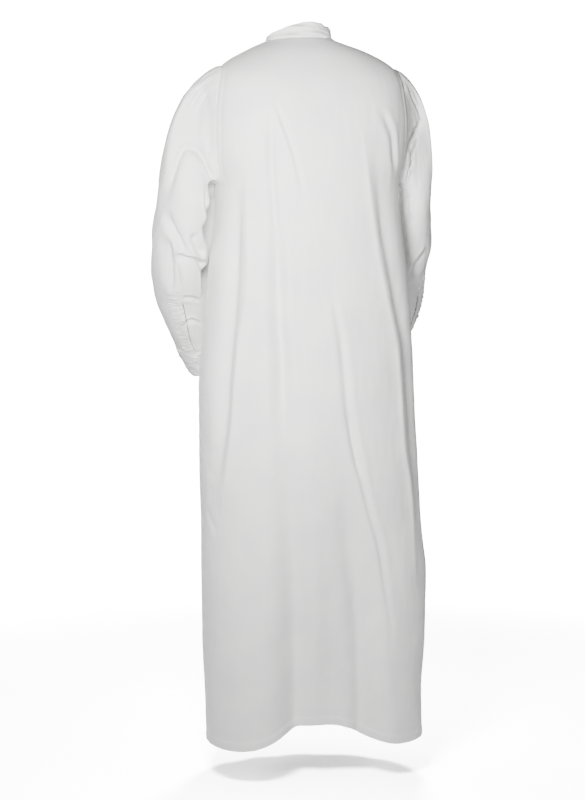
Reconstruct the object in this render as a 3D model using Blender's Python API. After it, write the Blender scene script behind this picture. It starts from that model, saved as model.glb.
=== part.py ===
"""A worn thobe: a long robe with a stand collar, set-in sleeves, buttoned cuffs and a short front opening.

Metres, +Z up. The origin is the middle of the neck opening at the height of the back neck seam. The front faces
-Y and the wearer's left is +X. Every piece is a cloth wall: an outer face worked out from the sizes below and an
inner face set in from it by the thickness of the cloth.
"""

import math

import bpy
import numpy as np

CLOTH = 0.0015
COLLAR_CLOTH = 0.0024
CUFF_CLOTH = 0.0020
SEAM_GAP = 0.0003
LIE_GAP = 0.0005

BACK_COLUMNS = 26
FRONT_SIDE_COLUMNS = 8
YOKE_ROWS = 5
ARMHOLE_ROWS = 12
SKIRT_ROWS = 22
ROW_SAMPLES = 161
SMALLEST = 1e-9

# One row for each level of the body, named by where it crosses the side. Widths and places are in metres.
BODY_COLUMNS = (
    "side_z", "left_x", "right_x", "side_y", "back_y", "back_z", "front_y", "front_z", "squareness",
)
BODY = {
    "neck": (-0.016, 0.080, 0.063, -0.006, 0.058, -0.007, -0.074, -0.072, 2.0),
    "shoulder": (-0.039, 0.122, 0.122, 0.008, 0.098, -0.040, -0.098, -0.106, 2.1),
    "tip": (-0.071, 0.176, 0.178, 0.018, 0.130, -0.090, -0.112, -0.148, 2.3),
    "cap": (-0.112, 0.201, 0.199, 0.016, 0.145, -0.135, -0.119, -0.182, 2.4),
    "blade": (-0.175, 0.210, 0.206, 0.014, 0.154, -0.190, -0.125, -0.222, 2.5),
    "low_armhole": (-0.245, 0.203, 0.200, 0.015, 0.157, -0.250, -0.127, -0.262, 2.5),
    "underarm": (-0.300, 0.186, 0.186, 0.018, 0.157, -0.302, -0.126, -0.305, 2.4),
    "waist": (-0.495, 0.205, 0.207, 0.024, 0.160, -0.495, -0.116, -0.495, 2.3),
    "belly": (-0.600, 0.216, 0.217, 0.027, 0.168, -0.600, -0.112, -0.600, 2.1),
    "hip": (-0.720, 0.226, 0.221, 0.031, 0.178, -0.720, -0.114, -0.720, 2.1),
    "seat": (-0.850, 0.226, 0.227, 0.036, 0.186, -0.850, -0.120, -0.850, 2.2),
    "thigh": (-0.990, 0.223, 0.234, 0.040, 0.190, -0.990, -0.126, -0.990, 2.2),
    "knee": (-1.100, 0.223, 0.245, 0.043, 0.194, -1.100, -0.130, -1.100, 2.2),
    "calf": (-1.230, 0.221, 0.243, 0.046, 0.198, -1.230, -0.134, -1.232, 2.2),
    "shin": (-1.330, 0.218, 0.235, 0.048, 0.200, -1.332, -0.138, -1.335, 2.2),
    "hem": (-1.438, 0.214, 0.236, 0.050, 0.202, -1.436, -0.142, -1.448, 2.2),
}
ARMHOLE_BACK = 0.060
ARMHOLE_FRONT = 0.060
ARMHOLE_ROUNDNESS = 0.9
SIDE_DROP_POWER = 1.5

# Soft folds. On a panel "across" is measured round the cloth from the centre line, positive to the wearer's left.
# On a sleeve it is measured from the outer line of the arm, positive towards the back. "bow" is how far the middle
# of a fold stands off the straight line between its ends.
FOLD_COLUMNS = (
    "top_across", "top_z", "low_across", "low_z", "bow", "top_width", "low_width", "top_depth", "low_depth",
)
FOLD_FADE = 0.15
BACK_FOLDS = {
    "left_long": (0.152, -0.240, 0.225, -1.080, -0.012, 0.018, 0.022, 0.004, 0.007),
    "left_middle": (0.102, -0.150, 0.062, -1.500, 0.004, 0.014, 0.028, 0.002, 0.013),
    "right_middle": (-0.030, -0.850, -0.060, -1.500, 0.000, 0.014, 0.022, 0.003, 0.010),
    "right_slant": (-0.007, -0.440, -0.172, -1.300, 0.015, 0.014, 0.018, 0.005, 0.008),
    "right_long": (-0.080, -0.150, -0.210, -1.090, -0.016, 0.016, 0.024, 0.005, 0.008),
}
FRONT_FOLDS = {
    "left_drape": (0.110, -0.330, 0.095, -1.520, 0.006, 0.018, 0.030, 0.003, 0.014),
    "left_side": (0.175, -0.520, 0.190, -1.520, -0.006, 0.016, 0.024, 0.003, 0.009),
    "middle": (0.010, -0.620, 0.018, -1.520, 0.004, 0.018, 0.026, 0.002, 0.010),
    "right_drape": (-0.095, -0.360, -0.085, -1.520, -0.008, 0.018, 0.028, 0.003, 0.013),
    "right_side": (-0.170, -0.480, -0.195, -1.520, 0.006, 0.016, 0.024, 0.003, 0.010),
}
LEFT_SLEEVE_FOLDS = {
    "arch_outer": (0.070, -0.225, 0.052, -0.330, 0.004, 0.013, 0.013, 0.005, 0.003),
    "arch_inner": (0.085, -0.228, 0.190, -0.290, -0.006, 0.013, 0.013, 0.005, 0.004),
    "above_elbow": (0.045, -0.362, 0.130, -0.440, 0.000, 0.014, 0.014, 0.005, 0.006),
    "elbow": (0.070, -0.452, 0.160, -0.474, 0.004, 0.013, 0.013, 0.004, 0.006),
    "front_elbow": (-0.040, -0.395, -0.130, -0.450, 0.000, 0.014, 0.014, 0.004, 0.006),
    "front_forearm": (-0.060, -0.470, -0.080, -0.575, 0.000, 0.012, 0.012, 0.003, 0.004),
}
RIGHT_SLEEVE_FOLDS = {
    "cap": (0.040, -0.108, 0.036, -0.175, 0.000, 0.011, 0.013, 0.003, 0.005),
    "slant": (0.040, -0.176, 0.170, -0.236, 0.000, 0.013, 0.014, 0.005, 0.006),
    "back_arm": (0.118, -0.300, 0.106, -0.405, 0.000, 0.012, 0.014, 0.003, 0.005),
    "elbow": (0.060, -0.428, 0.110, -0.488, 0.000, 0.013, 0.014, 0.005, 0.006),
    "front_elbow": (-0.045, -0.400, -0.130, -0.462, 0.000, 0.014, 0.014, 0.004, 0.006),
    "front_forearm": (-0.065, -0.480, -0.075, -0.575, 0.000, 0.012, 0.012, 0.003, 0.004),
}
HEM_HOLLOW_ACROSS = 0.002
HEM_HOLLOW_WIDTH = 0.112
HEM_HOLLOW_POWER = 3
HEM_HOLLOW_DEPTH = 0.060
HEM_HOLLOW_TOP = -0.80
HEM_RISE = 0.044
HEM_RISE_TOP = -1.15
EDGE_HOLD = 0.05

PLACKET_WIDTH = 0.035
PLACKET_PANEL_COLUMN = 0.019
FRONT_OPENING_LOW = -0.42
OPENING_HALF_WIDTH = 0.001

# One row for each ring of a sleeve, from the upper arm to the wrist: middle, half width to the side, half depth.
SLEEVE_COLUMNS = ("x", "y", "z", "half_side", "half_deep")
LEFT_SLEEVE = {
    "upper": (0.2475, 0.002, -0.335, 0.0575, 0.076),
    "above_elbow": (0.2555, -0.010, -0.405, 0.0585, 0.074),
    "elbow": (0.2565, -0.028, -0.465, 0.0570, 0.070),
    "below_elbow": (0.2482, -0.058, -0.518, 0.0546, 0.064),
    "forearm": (0.2345, -0.080, -0.571, 0.045, 0.057),
    "wrist": (0.2140, -0.108, -0.619, 0.040, 0.050),
    "cuff_end": (0.1840, -0.134, -0.675, 0.037, 0.044),
}
RIGHT_SLEEVE = {
    "upper": (0.2340, -0.025, -0.335, 0.036, 0.076),
    "above_elbow": (0.2375, -0.060, -0.405, 0.043, 0.074),
    "elbow": (0.2324, -0.085, -0.465, 0.046, 0.068),
    "below_elbow": (0.2329, -0.115, -0.520, 0.046, 0.064),
    "forearm": (0.2313, -0.148, -0.570, 0.044, 0.058),
    "wrist": (0.2264, -0.180, -0.616, 0.040, 0.050),
    "cuff_end": (0.2040, -0.216, -0.674, 0.036, 0.044),
}
CAP_RINGS = 6
ARM_RINGS = 12
CAP_FULLNESS = 1.35
CAP_HEADING = (0.93, 0.0, -0.36)
CAP_HOLD = 4
CAP_SETTLE = 0.7
UNDERARM_HOLD = 3
STATION_NUDGE = 0.004
FREE_AFTER_RINGS = 2
FREE_BEFORE_RINGS = 4
LEAST_MITRE = 0.6
SLIT_RINGS = 5

CUFF_ROWS = 3
CUFF_OVERLAP_STEPS = 2
CUFF_PROUD = 0.0020
CUFF_BLEND_STEPS = 4

# How far the collar stands up and leans in towards the neck on each side.
COLLAR_COLUMNS = ("rise", "lean")
COLLAR = {
    "back": (0.032, 0.006),
    "left": (0.017, -0.001),
    "front": (0.030, 0.004),
    "right": (0.030, 0.014),
}
COLLAR_ROWS = 3
COLLAR_OVERLAP_COLUMNS = 1
COLLAR_BLEND_COLUMNS = 4

BUTTON_RADIUS = 0.0055
BUTTON_THICKNESS = 0.0024
BUTTON_SIDES = 16
# The section of a button from its back to its sunk face, as shares of its radius and of its thickness.
BUTTON_PROFILE = (
    (0.86, 0.00),
    (1.00, 0.35),
    (1.00, 0.75),
    (0.84, 1.00),
    (0.62, 0.72),
)
FRONT_BUTTON_ROWS = (7, 12, 17)
CUFF_BUTTON_SHARES = (0.27, 0.75)

ARM_SIDES = 2 * ARMHOLE_ROWS
SLIT_COLUMNS = {"left": 6, "right": 4}
GAUNTLET_COLUMNS = 2
GAUNTLET_POINT = 0.5

CLOTH_COLOUR = (0.80, 0.80, 0.79, 1.0)
BUTTON_COLOUR = (0.78, 0.78, 0.76, 1.0)
CLOTH_ROUGHNESS = 0.75
BUTTON_ROUGHNESS = 0.35


def clear_scene():
    for item in list(bpy.data.objects):
        bpy.data.objects.remove(item, do_unlink=True)


def unit(vectors):
    lengths = np.linalg.norm(vectors, axis=-1, keepdims=True)
    return vectors / np.maximum(lengths, SMALLEST)


def ease(value):
    """Smooth step from 0 to 1."""
    value = np.clip(value, 0.0, 1.0)
    return value * value * (3 - 2 * value)


def column(table, names, name):
    place = names.index(name)
    return np.array([row[place] for row in table.values()])


def smooth_curve(keys, values, wanted):
    """Cubic through the values that never swings past them, for keys in rising order."""
    steps = np.diff(keys)
    slopes = np.diff(values) / steps
    tangents = np.zeros(len(keys))
    tangents[0], tangents[-1] = slopes[0], slopes[-1]
    for index in range(1, len(keys) - 1):
        before, after = slopes[index - 1], slopes[index]
        if before * after > 0:
            tangents[index] = 2 * before * after / (before + after)
    place = np.clip(np.searchsorted(keys, wanted, side="right") - 1, 0, len(keys) - 2)
    step = steps[place]
    part = (wanted - keys[place]) / step
    start, end = values[place], values[place + 1]
    run_out = step * tangents[place] * (part**3 - 2 * part**2 + part)
    run_in = step * tangents[place + 1] * (part**3 - part**2)
    return start + (end - start) * (3 * part**2 - 2 * part**3) + run_out + run_in


def table_rows(table, names):
    """The table as an array with one column for each name."""
    return np.stack([column(table, names, name) for name in names], axis=1)


def curve_rows(keys, rows, wanted):
    """Each column of rows drawn through the keys as a smooth curve and read off at the wanted places."""
    return np.stack([smooth_curve(keys, values, wanted) for values in rows.T], axis=1)


def body_size(name, levels):
    """The size called name at each level, where a level is the height at the side."""
    heights = column(BODY, BODY_COLUMNS, "side_z")[::-1]
    values = column(BODY, BODY_COLUMNS, name)[::-1]
    return smooth_curve(heights, values, np.asarray(levels, float))


def body_levels():
    """Heights at the side of every row of points, from the neck down to the hem."""
    neck, tip, underarm, hem = (BODY[name][0] for name in ("neck", "tip", "underarm", "hem"))
    yoke = np.linspace(neck, tip, YOKE_ROWS + 1)
    turn = np.linspace(0, math.pi, ARMHOLE_ROWS + 1)
    armhole = tip + (underarm - tip) * (1 - np.cos(turn)) / 2
    skirt = np.linspace(underarm, hem, SKIRT_ROWS + 1)
    return np.concatenate([yoke, armhole[1:], skirt[1:]])


def armhole_reach(level):
    """How much of the armhole's half width is open at this level: 0 at both ends and 1 midway."""
    tip, underarm = BODY["tip"][0], BODY["underarm"][0]
    part = np.clip((level - tip) / (underarm - tip), 0, 1)
    return float((2 * math.sqrt(part * (1 - part))) ** ARMHOLE_ROUNDNESS)


def half_row(level, side, facing):
    """Close points from the centre line to the edge of one panel at one level."""
    half_width = float(body_size("left_x" if side > 0 else "right_x", level))
    face = "back" if facing > 0 else "front"
    side_y, mid_y = float(body_size("side_y", level)), float(body_size(face + "_y", level))
    side_z, mid_z = level, float(body_size(face + "_z", level))
    power = 2 / float(body_size("squareness", level))
    depth = abs(mid_y - side_y)
    edge = armhole_reach(level) * (ARMHOLE_BACK if facing > 0 else ARMHOLE_FRONT)
    last = math.acos((edge / depth) ** (1 / power))
    angles = last * np.linspace(0, 1, ROW_SAMPLES)
    out = depth * np.maximum(np.cos(angles), 0) ** power
    towards = (out - edge) / (depth - edge)
    return np.stack([
        side * half_width * np.sin(angles) ** power,
        side_y + facing * out,
        side_z + (mid_z - side_z) * np.clip(towards, 0, 1) ** SIDE_DROP_POWER,
    ], axis=1)


def run_lengths(points):
    return np.concatenate([[0], np.cumsum(np.linalg.norm(np.diff(points, axis=0), axis=1))])


def points_along(points, distances):
    run = run_lengths(points)
    return np.stack([np.interp(distances, run, points[:, axis]) for axis in range(3)], axis=1)


def half_panel(levels, side, facing, first_step, count):
    """Rows of points from the centre line to the edge; first_step fixes the first column's distance."""
    rows, across = [], []
    for level in levels:
        curve = half_row(level, side, facing)
        whole = run_lengths(curve)[-1]
        if first_step:
            distances = np.concatenate([[0], np.linspace(first_step, whole, count)])
        else:
            distances = np.linspace(0, whole, count + 1)
        rows.append(points_along(curve, distances))
        across.append(side * distances)
    return np.array(rows), np.array(across)


def grid_normals(points, outward):
    """Unit normals of a grid of points by differences, turned the way that outward (+1 or -1) says."""
    down = np.gradient(points, axis=0)
    along = np.gradient(points, axis=1)
    return unit(np.cross(along, down)) * outward


def fold_depth(folds, across, height):
    """How far the cloth is pressed in at each point by its folds, in metres."""
    total = np.zeros_like(across)
    for row in folds.values():
        fold = dict(zip(FOLD_COLUMNS, row))
        run_across = fold["low_across"] - fold["top_across"]
        run_down = fold["low_z"] - fold["top_z"]
        length = math.hypot(run_across, run_down)
        off_across, off_down = across - fold["top_across"], height - fold["top_z"]
        part = (off_across * run_across + off_down * run_down) / length**2
        inside = np.clip(part, 0, 1)
        bow = fold["bow"] * 4 * inside * (1 - inside)
        apart = (off_down * run_across - off_across * run_down) / length - bow
        width = fold["top_width"] + (fold["low_width"] - fold["top_width"]) * inside
        depth = fold["top_depth"] + (fold["low_depth"] - fold["top_depth"]) * inside
        fade = ease(part / FOLD_FADE) * ease((1 - part) / FOLD_FADE)
        total += depth * fade * np.exp(-((apart / width) ** 2))
    return total


def hollow_spread(across):
    """The shape of the hollow between the two lobes of the back hem: 1 in its middle and 0 outside."""
    return np.exp(-(np.abs((across - HEM_HOLLOW_ACROSS) / HEM_HOLLOW_WIDTH) ** HEM_HOLLOW_POWER))


def hem_hollow(across, height):
    """How far the back is pressed in, and how far its hem lifts, between the two lobes."""
    low = BODY["hem"][0]
    pressed = ease((HEM_HOLLOW_TOP - height) / (HEM_HOLLOW_TOP - low))
    lifted = ease((HEM_RISE_TOP - height) / (HEM_RISE_TOP - low))
    spread = hollow_spread(across)
    return HEM_HOLLOW_DEPTH * pressed * spread, HEM_RISE * lifted * spread


def make_material(name, colour, roughness):
    material = bpy.data.materials.new(name)
    material.use_nodes = True
    shader = material.node_tree.nodes["Principled BSDF"]
    shader.inputs["Base Color"].default_value = colour
    shader.inputs["Roughness"].default_value = roughness
    shader.inputs["Metallic"].default_value = 0.0
    return material


def make_object(name, points, faces, material):
    mesh = bpy.data.meshes.new(name)
    mesh.from_pydata([tuple(point) for point in points], [], faces)
    mesh.materials.append(material)
    mesh.validate()
    mesh.shade_smooth()
    item = bpy.data.objects.new(name, mesh)
    bpy.context.scene.collection.objects.link(item)
    return item


def make_wall(name, outer, inner, faces, material):
    """A closed wall between two matching faces of points. Each open edge of the outer face gets a side."""
    count = len(outer)
    edges = {(face[i], face[(i + 1) % len(face)]) for face in faces for i in range(len(face))}
    sides = [(b, a, a + count, b + count) for a, b in sorted(edges) if (b, a) not in edges]
    under = [tuple(corner + count for corner in reversed(face)) for face in faces]
    used = sorted({corner for face in faces for corner in face})
    place = {corner: index for index, corner in enumerate(used)}
    place.update({corner + count: index + len(used) for index, corner in enumerate(used)})
    points = np.concatenate([outer[used], inner[used]])
    walls = [tuple(place[corner] for corner in face) for face in list(faces) + under + sides]
    return make_object(name, points, walls, material)


def grid_faces(index, outward):
    """Quads of a grid of point numbers, facing out."""
    faces = []
    for row in range(index.shape[0] - 1):
        for col in range(index.shape[1] - 1):
            quad = (index[row, col], index[row, col + 1], index[row + 1, col + 1], index[row + 1, col])
            quad = quad if outward > 0 else quad[::-1]
            faces.append(tuple(int(corner) for corner in quad))
    return faces


def full_panel(levels, facing, first_step, count):
    """One panel as a grid from the wearer's right to the left, with its distances from the centre line."""
    left, left_across = half_panel(levels, 1, facing, first_step, count)
    right, right_across = half_panel(levels, -1, facing, first_step, count)
    points = np.concatenate([right[:, :0:-1], left], axis=1)
    across = np.concatenate([right_across[:, :0:-1], left_across], axis=1)
    return points, across


def edge_hold(across):
    """How freely the cloth folds: 0 at the two edges of a panel and 1 away from them."""
    edge = np.minimum(across - across[:, :1], across[:, -1:] - across)
    return ease(edge / EDGE_HOLD)


def body_panels(levels):
    """Outer points and normals of the back and the front, with the folds of the back pressed in."""
    back, across = full_panel(levels, 1, 0, BACK_COLUMNS // 2)
    hollow, lifted = hem_hollow(across, back[:, :, 2])
    pressed = fold_depth(BACK_FOLDS, across, back[:, :, 2]) + hollow
    hold = edge_hold(across)
    back = back - grid_normals(back, 1) * (pressed * hold)[:, :, None]
    back[:, :, 2] += lifted * hold
    front, across = full_panel(levels, -1, PLACKET_PANEL_COLUMN, FRONT_SIDE_COLUMNS)
    pressed = fold_depth(FRONT_FOLDS, across, front[:, :, 2]) * edge_hold(across)
    front = front - grid_normals(front, -1) * pressed[:, :, None]
    return back, grid_normals(back, 1), front, grid_normals(front, -1)


def join_edges(back, back_normals, front, front_normals, closed_rows):
    """Give the two panels the same normals where they meet, and part them by the seam gap."""
    for row in closed_rows:
        for end in (0, -1):
            shared = unit(back_normals[row, end] + front_normals[row, end])
            back_normals[row, end] = front_normals[row, end] = shared
            middle = (back[row, end] + front[row, end]) / 2
            back[row, end] = middle + (0, SEAM_GAP / 2, 0)
            front[row, end] = middle - (0, SEAM_GAP / 2, 0)


def armhole_ring(tip, underarm):
    """Rows and panels round one armhole: over the shoulder tip, down the back, and up the front."""
    order = [("both", tip)]
    order += [("back", row) for row in range(tip + 1, underarm)]
    order += [("both", underarm)]
    order += [("front", row) for row in range(underarm - 1, tip, -1)]
    return order


def ring_tangents(ring):
    return unit(np.roll(ring, -1, axis=0) - np.roll(ring, 1, axis=0))


def sleeve_stations(table, side, count):
    """Middles, directions and half sizes of rings from the upper arm to the wrist, evenly spaced.

    The last row of the table is the cuff's far end, so it only steers the direction of the last ring.
    """
    rows = table_rows(table, SLEEVE_COLUMNS)
    run = run_lengths(rows[:, :3])
    wanted = np.linspace(0, run[-2], count + 1)
    sizes = curve_rows(run, rows, wanted)
    ahead = curve_rows(run, rows[:, :3], wanted + STATION_NUDGE)
    before = curve_rows(run, rows[:, :3], np.maximum(wanted - STATION_NUDGE, 0))
    middles, directions = sizes[:, :3].copy(), unit(ahead - before)
    middles[:, 0] *= side
    directions[:, 0] *= side
    return middles, directions, sizes[:, 3:]


def arm_axes(direction, side):
    """The outward and the backward direction of a ring across the arm."""
    outward = unit(np.array([side, 0.0, 0.0]) - direction * (direction[0] * side))
    return outward, side * np.cross(outward, direction)


def oval_ring(middle, direction, half_sizes, side, turns):
    outward, backward = arm_axes(direction, side)
    cosines, sines = np.cos(turns)[:, None], np.sin(turns)[:, None]
    return middle + half_sizes[0] * cosines * outward + half_sizes[1] * sines * backward


def sleeve_grid(edge, leave, table, side):
    """Rings of points from the armhole edge over the cap and down the arm."""
    middles, directions, sizes = sleeve_stations(table, side, ARM_RINGS)
    turns = 2 * math.pi * np.arange(ARM_SIDES) / ARM_SIDES
    rings = [
        oval_ring(middle, direction, size, side, turns)
        for middle, direction, size in zip(middles, directions, sizes)
    ]
    reach = np.linalg.norm(rings[0] - edge, axis=1, keepdims=True)
    top = (1 + np.cos(turns)[:, None]) / 2
    start = leave * reach * (1 + (CAP_FULLNESS - 1) * top)
    finish = directions[0] * reach * CAP_SETTLE
    cap = []
    for part in np.linspace(0, 1, CAP_RINGS + 1)[:-1]:
        cap.append(
            edge * (2 * part**3 - 3 * part**2 + 1)
            + start * (part**3 - 2 * part**2 + part)
            + rings[0] * (3 * part**2 - 2 * part**3)
            + finish * (part**3 - part**2)
        )
    return np.array(cap + rings)


def ring_normals(grid, side):
    """Unit normals of rings of points, facing out of the tube."""
    around = np.roll(grid, -1, axis=1) - np.roll(grid, 1, axis=1)
    down = np.gradient(grid, axis=0)
    return unit(np.cross(down, around)) * side


def press_sleeve(grid, folds, side):
    """The rings with the folds of the sleeve pressed in, held still near both ends."""
    closed = np.concatenate([grid, grid[:, :1]], axis=1)
    steps = np.linalg.norm(np.diff(closed, axis=1), axis=2)
    around = np.cumsum(steps, axis=1) - steps
    whole = steps.sum(axis=1, keepdims=True)
    around = np.where(around > whole / 2, around - whole, around)
    ring = np.arange(len(grid))[:, None]
    free = ease(ring / FREE_AFTER_RINGS) * ease((len(grid) - 1 - ring) / FREE_BEFORE_RINGS)
    pressed = fold_depth(folds, around, grid[:, :, 2]) * free
    return grid - ring_normals(grid, side) * pressed[:, :, None]


def make_sleeve(name, side, panels, rows, material):
    """One sleeve, open at its slit, and the normals that its edge shares with the panels."""
    back, back_normals, front, front_normals = panels
    tip, underarm = rows
    end = -1 if side > 0 else 0
    beside = -2 if side > 0 else 1
    points = {"back": back, "front": front}
    normals = {"back": back_normals, "front": front_normals}
    order = armhole_ring(tip, underarm)
    edge, normal, across = [], [], []
    for panel, row in order:
        if panel == "both":
            other = row - 1 if row == tip else row + 1
            edge.append((back[row, end] + front[row, end]) / 2)
            normal.append(back_normals[row, end])
            across.append(edge[-1] - (back[other, end] + front[other, end]) / 2)
        else:
            edge.append(points[panel][row, end])
            normal.append(normals[panel][row, end])
            across.append(edge[-1] - points[panel][row, beside])
    edge, normal, across = np.array(edge), np.array(normal), unit(np.array(across))
    turns = 2 * math.pi * np.arange(ARM_SIDES) / ARM_SIDES
    low = ((1 - np.cos(turns[:, None])) / 2) ** UNDERARM_HOLD
    high = ((1 + np.cos(turns[:, None])) / 2) ** CAP_HOLD
    leave = unit(across * (1 - low) + np.array([side, 0.0, 0.0]) * low)
    leave = unit(leave * (1 - high) + np.array(CAP_HEADING) * (side, 1, 1) * high)
    tangents = ring_tangents(edge)
    sleeve_normal = unit(np.cross(leave, tangents)) * side
    mitre = unit(normal + sleeve_normal)
    stretch = 1 / np.maximum((mitre * normal).sum(axis=1, keepdims=True), LEAST_MITRE)
    gap = unit(np.cross(tangents, mitre)) * side
    table = LEFT_SLEEVE if side > 0 else RIGHT_SLEEVE
    grid = sleeve_grid(edge + SEAM_GAP * gap, leave, table, side)
    grid = press_sleeve(grid, LEFT_SLEEVE_FOLDS if side > 0 else RIGHT_SLEEVE_FOLDS, side)
    grid_out = ring_normals(grid, side)
    wrist = sleeve_stations(table, side, ARM_RINGS)[1][-1]
    grid_out[-1] = unit(grid_out[-1] - (grid_out[-1] @ wrist)[:, None] * wrist)
    inner = grid - CLOTH * grid_out
    inner[0] = grid[0] - CLOTH * mitre * stretch
    for (panel, row), inset in zip(order, CLOTH * mitre * stretch):
        for key in ("back", "front") if panel == "both" else (panel,):
            normals[key][row, end] = inset / CLOTH
    slit_column = SLIT_COLUMNS["left" if side > 0 else "right"]
    outer, inside, faces = slit_tube(grid, inner, slit_column, side)
    make_wall(name, outer, inside, faces, material)
    return grid, grid_out


def slit_tube(grid, inner, slit_column, side):
    """Points and faces of a tube whose last rings are parted along one column."""
    rings, sides = grid.shape[:2]
    slit_ring = rings - 1 - SLIT_RINGS
    index = np.arange(rings * sides).reshape(rings, sides)
    index = np.roll(index, -slit_column, axis=1)
    index = np.concatenate([index, index[:, :1]], axis=1)
    around = unit(np.roll(grid, -1, axis=1) - np.roll(grid, 1, axis=1))[:, slit_column]
    extra = np.arange(slit_ring + 1, rings)
    index[extra, -1] = rings * sides + np.arange(len(extra))
    outer, inside = grid.reshape(-1, 3).copy(), inner.reshape(-1, 3).copy()
    shift = around[extra] * OPENING_HALF_WIDTH
    outer = np.concatenate([outer, grid[extra, slit_column] - shift])
    inside = np.concatenate([inside, inner[extra, slit_column] - shift])
    outer[extra * sides + slit_column] += shift
    inside[extra * sides + slit_column] += shift
    return outer, inside, grid_faces(index, -side)


def make_gauntlet(name, side, grid, normals, slit_column, material):
    """The pointed strip that covers the sleeve's slit, made from the sleeve's own points moved out."""
    rings = grid.shape[0]
    top = rings - 1 - SLIT_RINGS - 1
    columns = [slit_column - step for step in range(GAUNTLET_COLUMNS, -1, -1)]
    rows = np.arange(top, rings)
    base = np.stack([grid[rows, col] for col in columns], axis=1)
    out = np.stack([normals[rows, col] for col in columns], axis=1)
    middle = columns[len(columns) // 2]
    apex = grid[top, middle] + (grid[top - 1, middle] - grid[top, middle]) * GAUNTLET_POINT
    index = np.arange(base.shape[0] * base.shape[1]).reshape(base.shape[:2])
    points = np.concatenate([base.reshape(-1, 3), [apex]])
    facing = np.concatenate([out.reshape(-1, 3), [normals[top, middle]]])
    tip = [(len(points) - 1, step + 1, step)[::-side] for step in range(GAUNTLET_COLUMNS)]
    outer, inner = points + facing * (LIE_GAP + CLOTH), points + facing * LIE_GAP
    make_wall(name, outer, inner, grid_faces(index, -side) + tip, material)
    return outer[:-1].reshape(base.shape), out


def make_cuff(name, side, table, last_ring, slit_column, material):
    """A band round the wrist whose outer end lies over its under end at the slit."""
    rows = table_rows(table, SLEEVE_COLUMNS)
    run = run_lengths(rows[:, :3])
    sizes = curve_rows(run, rows, np.linspace(run[-2], run[-1], CUFF_ROWS))
    middles = sizes[:, :3] * (side, 1, 1)
    direction = sleeve_stations(table, side, ARM_RINGS)[1][-1]
    heading = unit(middles[-1] - middles[0])
    steps = np.arange(-CUFF_OVERLAP_STEPS, ARM_SIDES + 1)
    turns = 2 * math.pi * (slit_column + steps) / ARM_SIDES
    under = 1 - ease(steps / CUFF_BLEND_STEPS)
    drop = under * (CUFF_CLOTH + LIE_GAP)
    grid, out = [], []
    for part, middle, size in zip(np.linspace(0, 1, CUFF_ROWS), middles, sizes[:, 3:]):
        across = unit(direction * (1 - part) + heading * part)
        ring = oval_ring(middle, across, size + CUFF_PROUD, side, turns)
        ring_out = unit(oval_ring(middle, across, size[::-1], side, turns) - middle)
        grid.append(ring - ring_out * drop[:, None])
        out.append(ring_out)
    grid = np.array(grid) + direction * SEAM_GAP
    out = np.array(out)
    index = np.arange(grid.shape[0] * grid.shape[1]).reshape(grid.shape[:2])
    outer, inner = grid.reshape(-1, 3), (grid - CUFF_CLOTH * out).reshape(-1, 3)
    make_wall(name, outer, inner, grid_faces(index, -side), material)
    return grid


def collar_form(points, middle):
    """Rise and lean of the collar at each point of the neckline, blended between its four sides."""
    away = unit((points - middle) * (1, 1, 0))
    weights = {
        "back": np.maximum(away[:, 1], 0) ** 2,
        "left": np.maximum(away[:, 0], 0) ** 2,
        "front": np.maximum(-away[:, 1], 0) ** 2,
        "right": np.maximum(-away[:, 0], 0) ** 2,
    }
    rise, lean = (
        sum(weights[side] * COLLAR[side][COLLAR_COLUMNS.index(size)] for side in COLLAR)
        for size in ("rise", "lean")
    )
    return away, rise[:, None], lean[:, None]


def make_collar(name, panels, material):
    """The stand collar, from its outer end over the right front, round the neck, to its under end."""
    back, back_normals, front, front_normals = panels
    centre = front.shape[1] // 2
    over = COLLAR_OVERLAP_COLUMNS
    front_row, back_row = list(range(centre - over, front.shape[1])), list(range(back.shape[1] - 1, -1, -1))
    last_row = list(range(0, centre + over + 1))
    left_joint = (front[0, -1] + back[0, -1]) / 2
    right_joint = (front[0, 0] + back[0, 0]) / 2
    ring = np.concatenate([
        front[0, front_row[:-1]], [left_joint], back[0, back_row[1:-1]], [right_joint], front[0, last_row[1:]],
    ])
    normal = np.concatenate([
        front_normals[0, front_row], back_normals[0, back_row[1:-1]], front_normals[0, last_row],
    ])
    middle = (left_joint + right_joint) / 2
    away, rise, lean = collar_form(ring, middle)
    along = unit(np.gradient(ring, axis=0))
    rising = rise * np.array([0, 0, 1.0]) - lean * away
    collar_out = unit(np.cross(along, rising))
    mitre = unit(normal + collar_out)
    stretch = 1 / np.maximum((mitre * normal).sum(axis=1, keepdims=True), LEAST_MITRE)
    gap = unit(np.cross(mitre, along))
    steps_left = np.arange(len(ring))[::-1]
    tuck = 1 - ease((steps_left - 2 * over) / COLLAR_BLEND_COLUMNS)
    tuck = tuck[:, None] * (COLLAR_CLOTH + LIE_GAP)
    base = ring + SEAM_GAP * gap - collar_out * tuck
    parts = np.linspace(0, 1, COLLAR_ROWS)
    grid = np.array([base + rising * part for part in parts])
    inner = grid - COLLAR_CLOTH * collar_out
    inner[0] = grid[0] - COLLAR_CLOTH * mitre * stretch
    inset = mitre * stretch
    for place, col in enumerate(front_row):
        front_normals[0, col] = inset[place]
    for place, col in enumerate(back_row):
        back_normals[0, col] = inset[len(front_row) - 1 + place]
    for place, col in enumerate(last_row[: centre - over]):
        front_normals[0, col] = inset[len(front_row) + len(back_row) - 2 + place]
    index = np.arange(grid.shape[0] * grid.shape[1]).reshape(grid.shape[:2])
    make_wall(name, grid.reshape(-1, 3), inner.reshape(-1, 3), grid_faces(index, 1), material)
    return grid, collar_out


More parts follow.
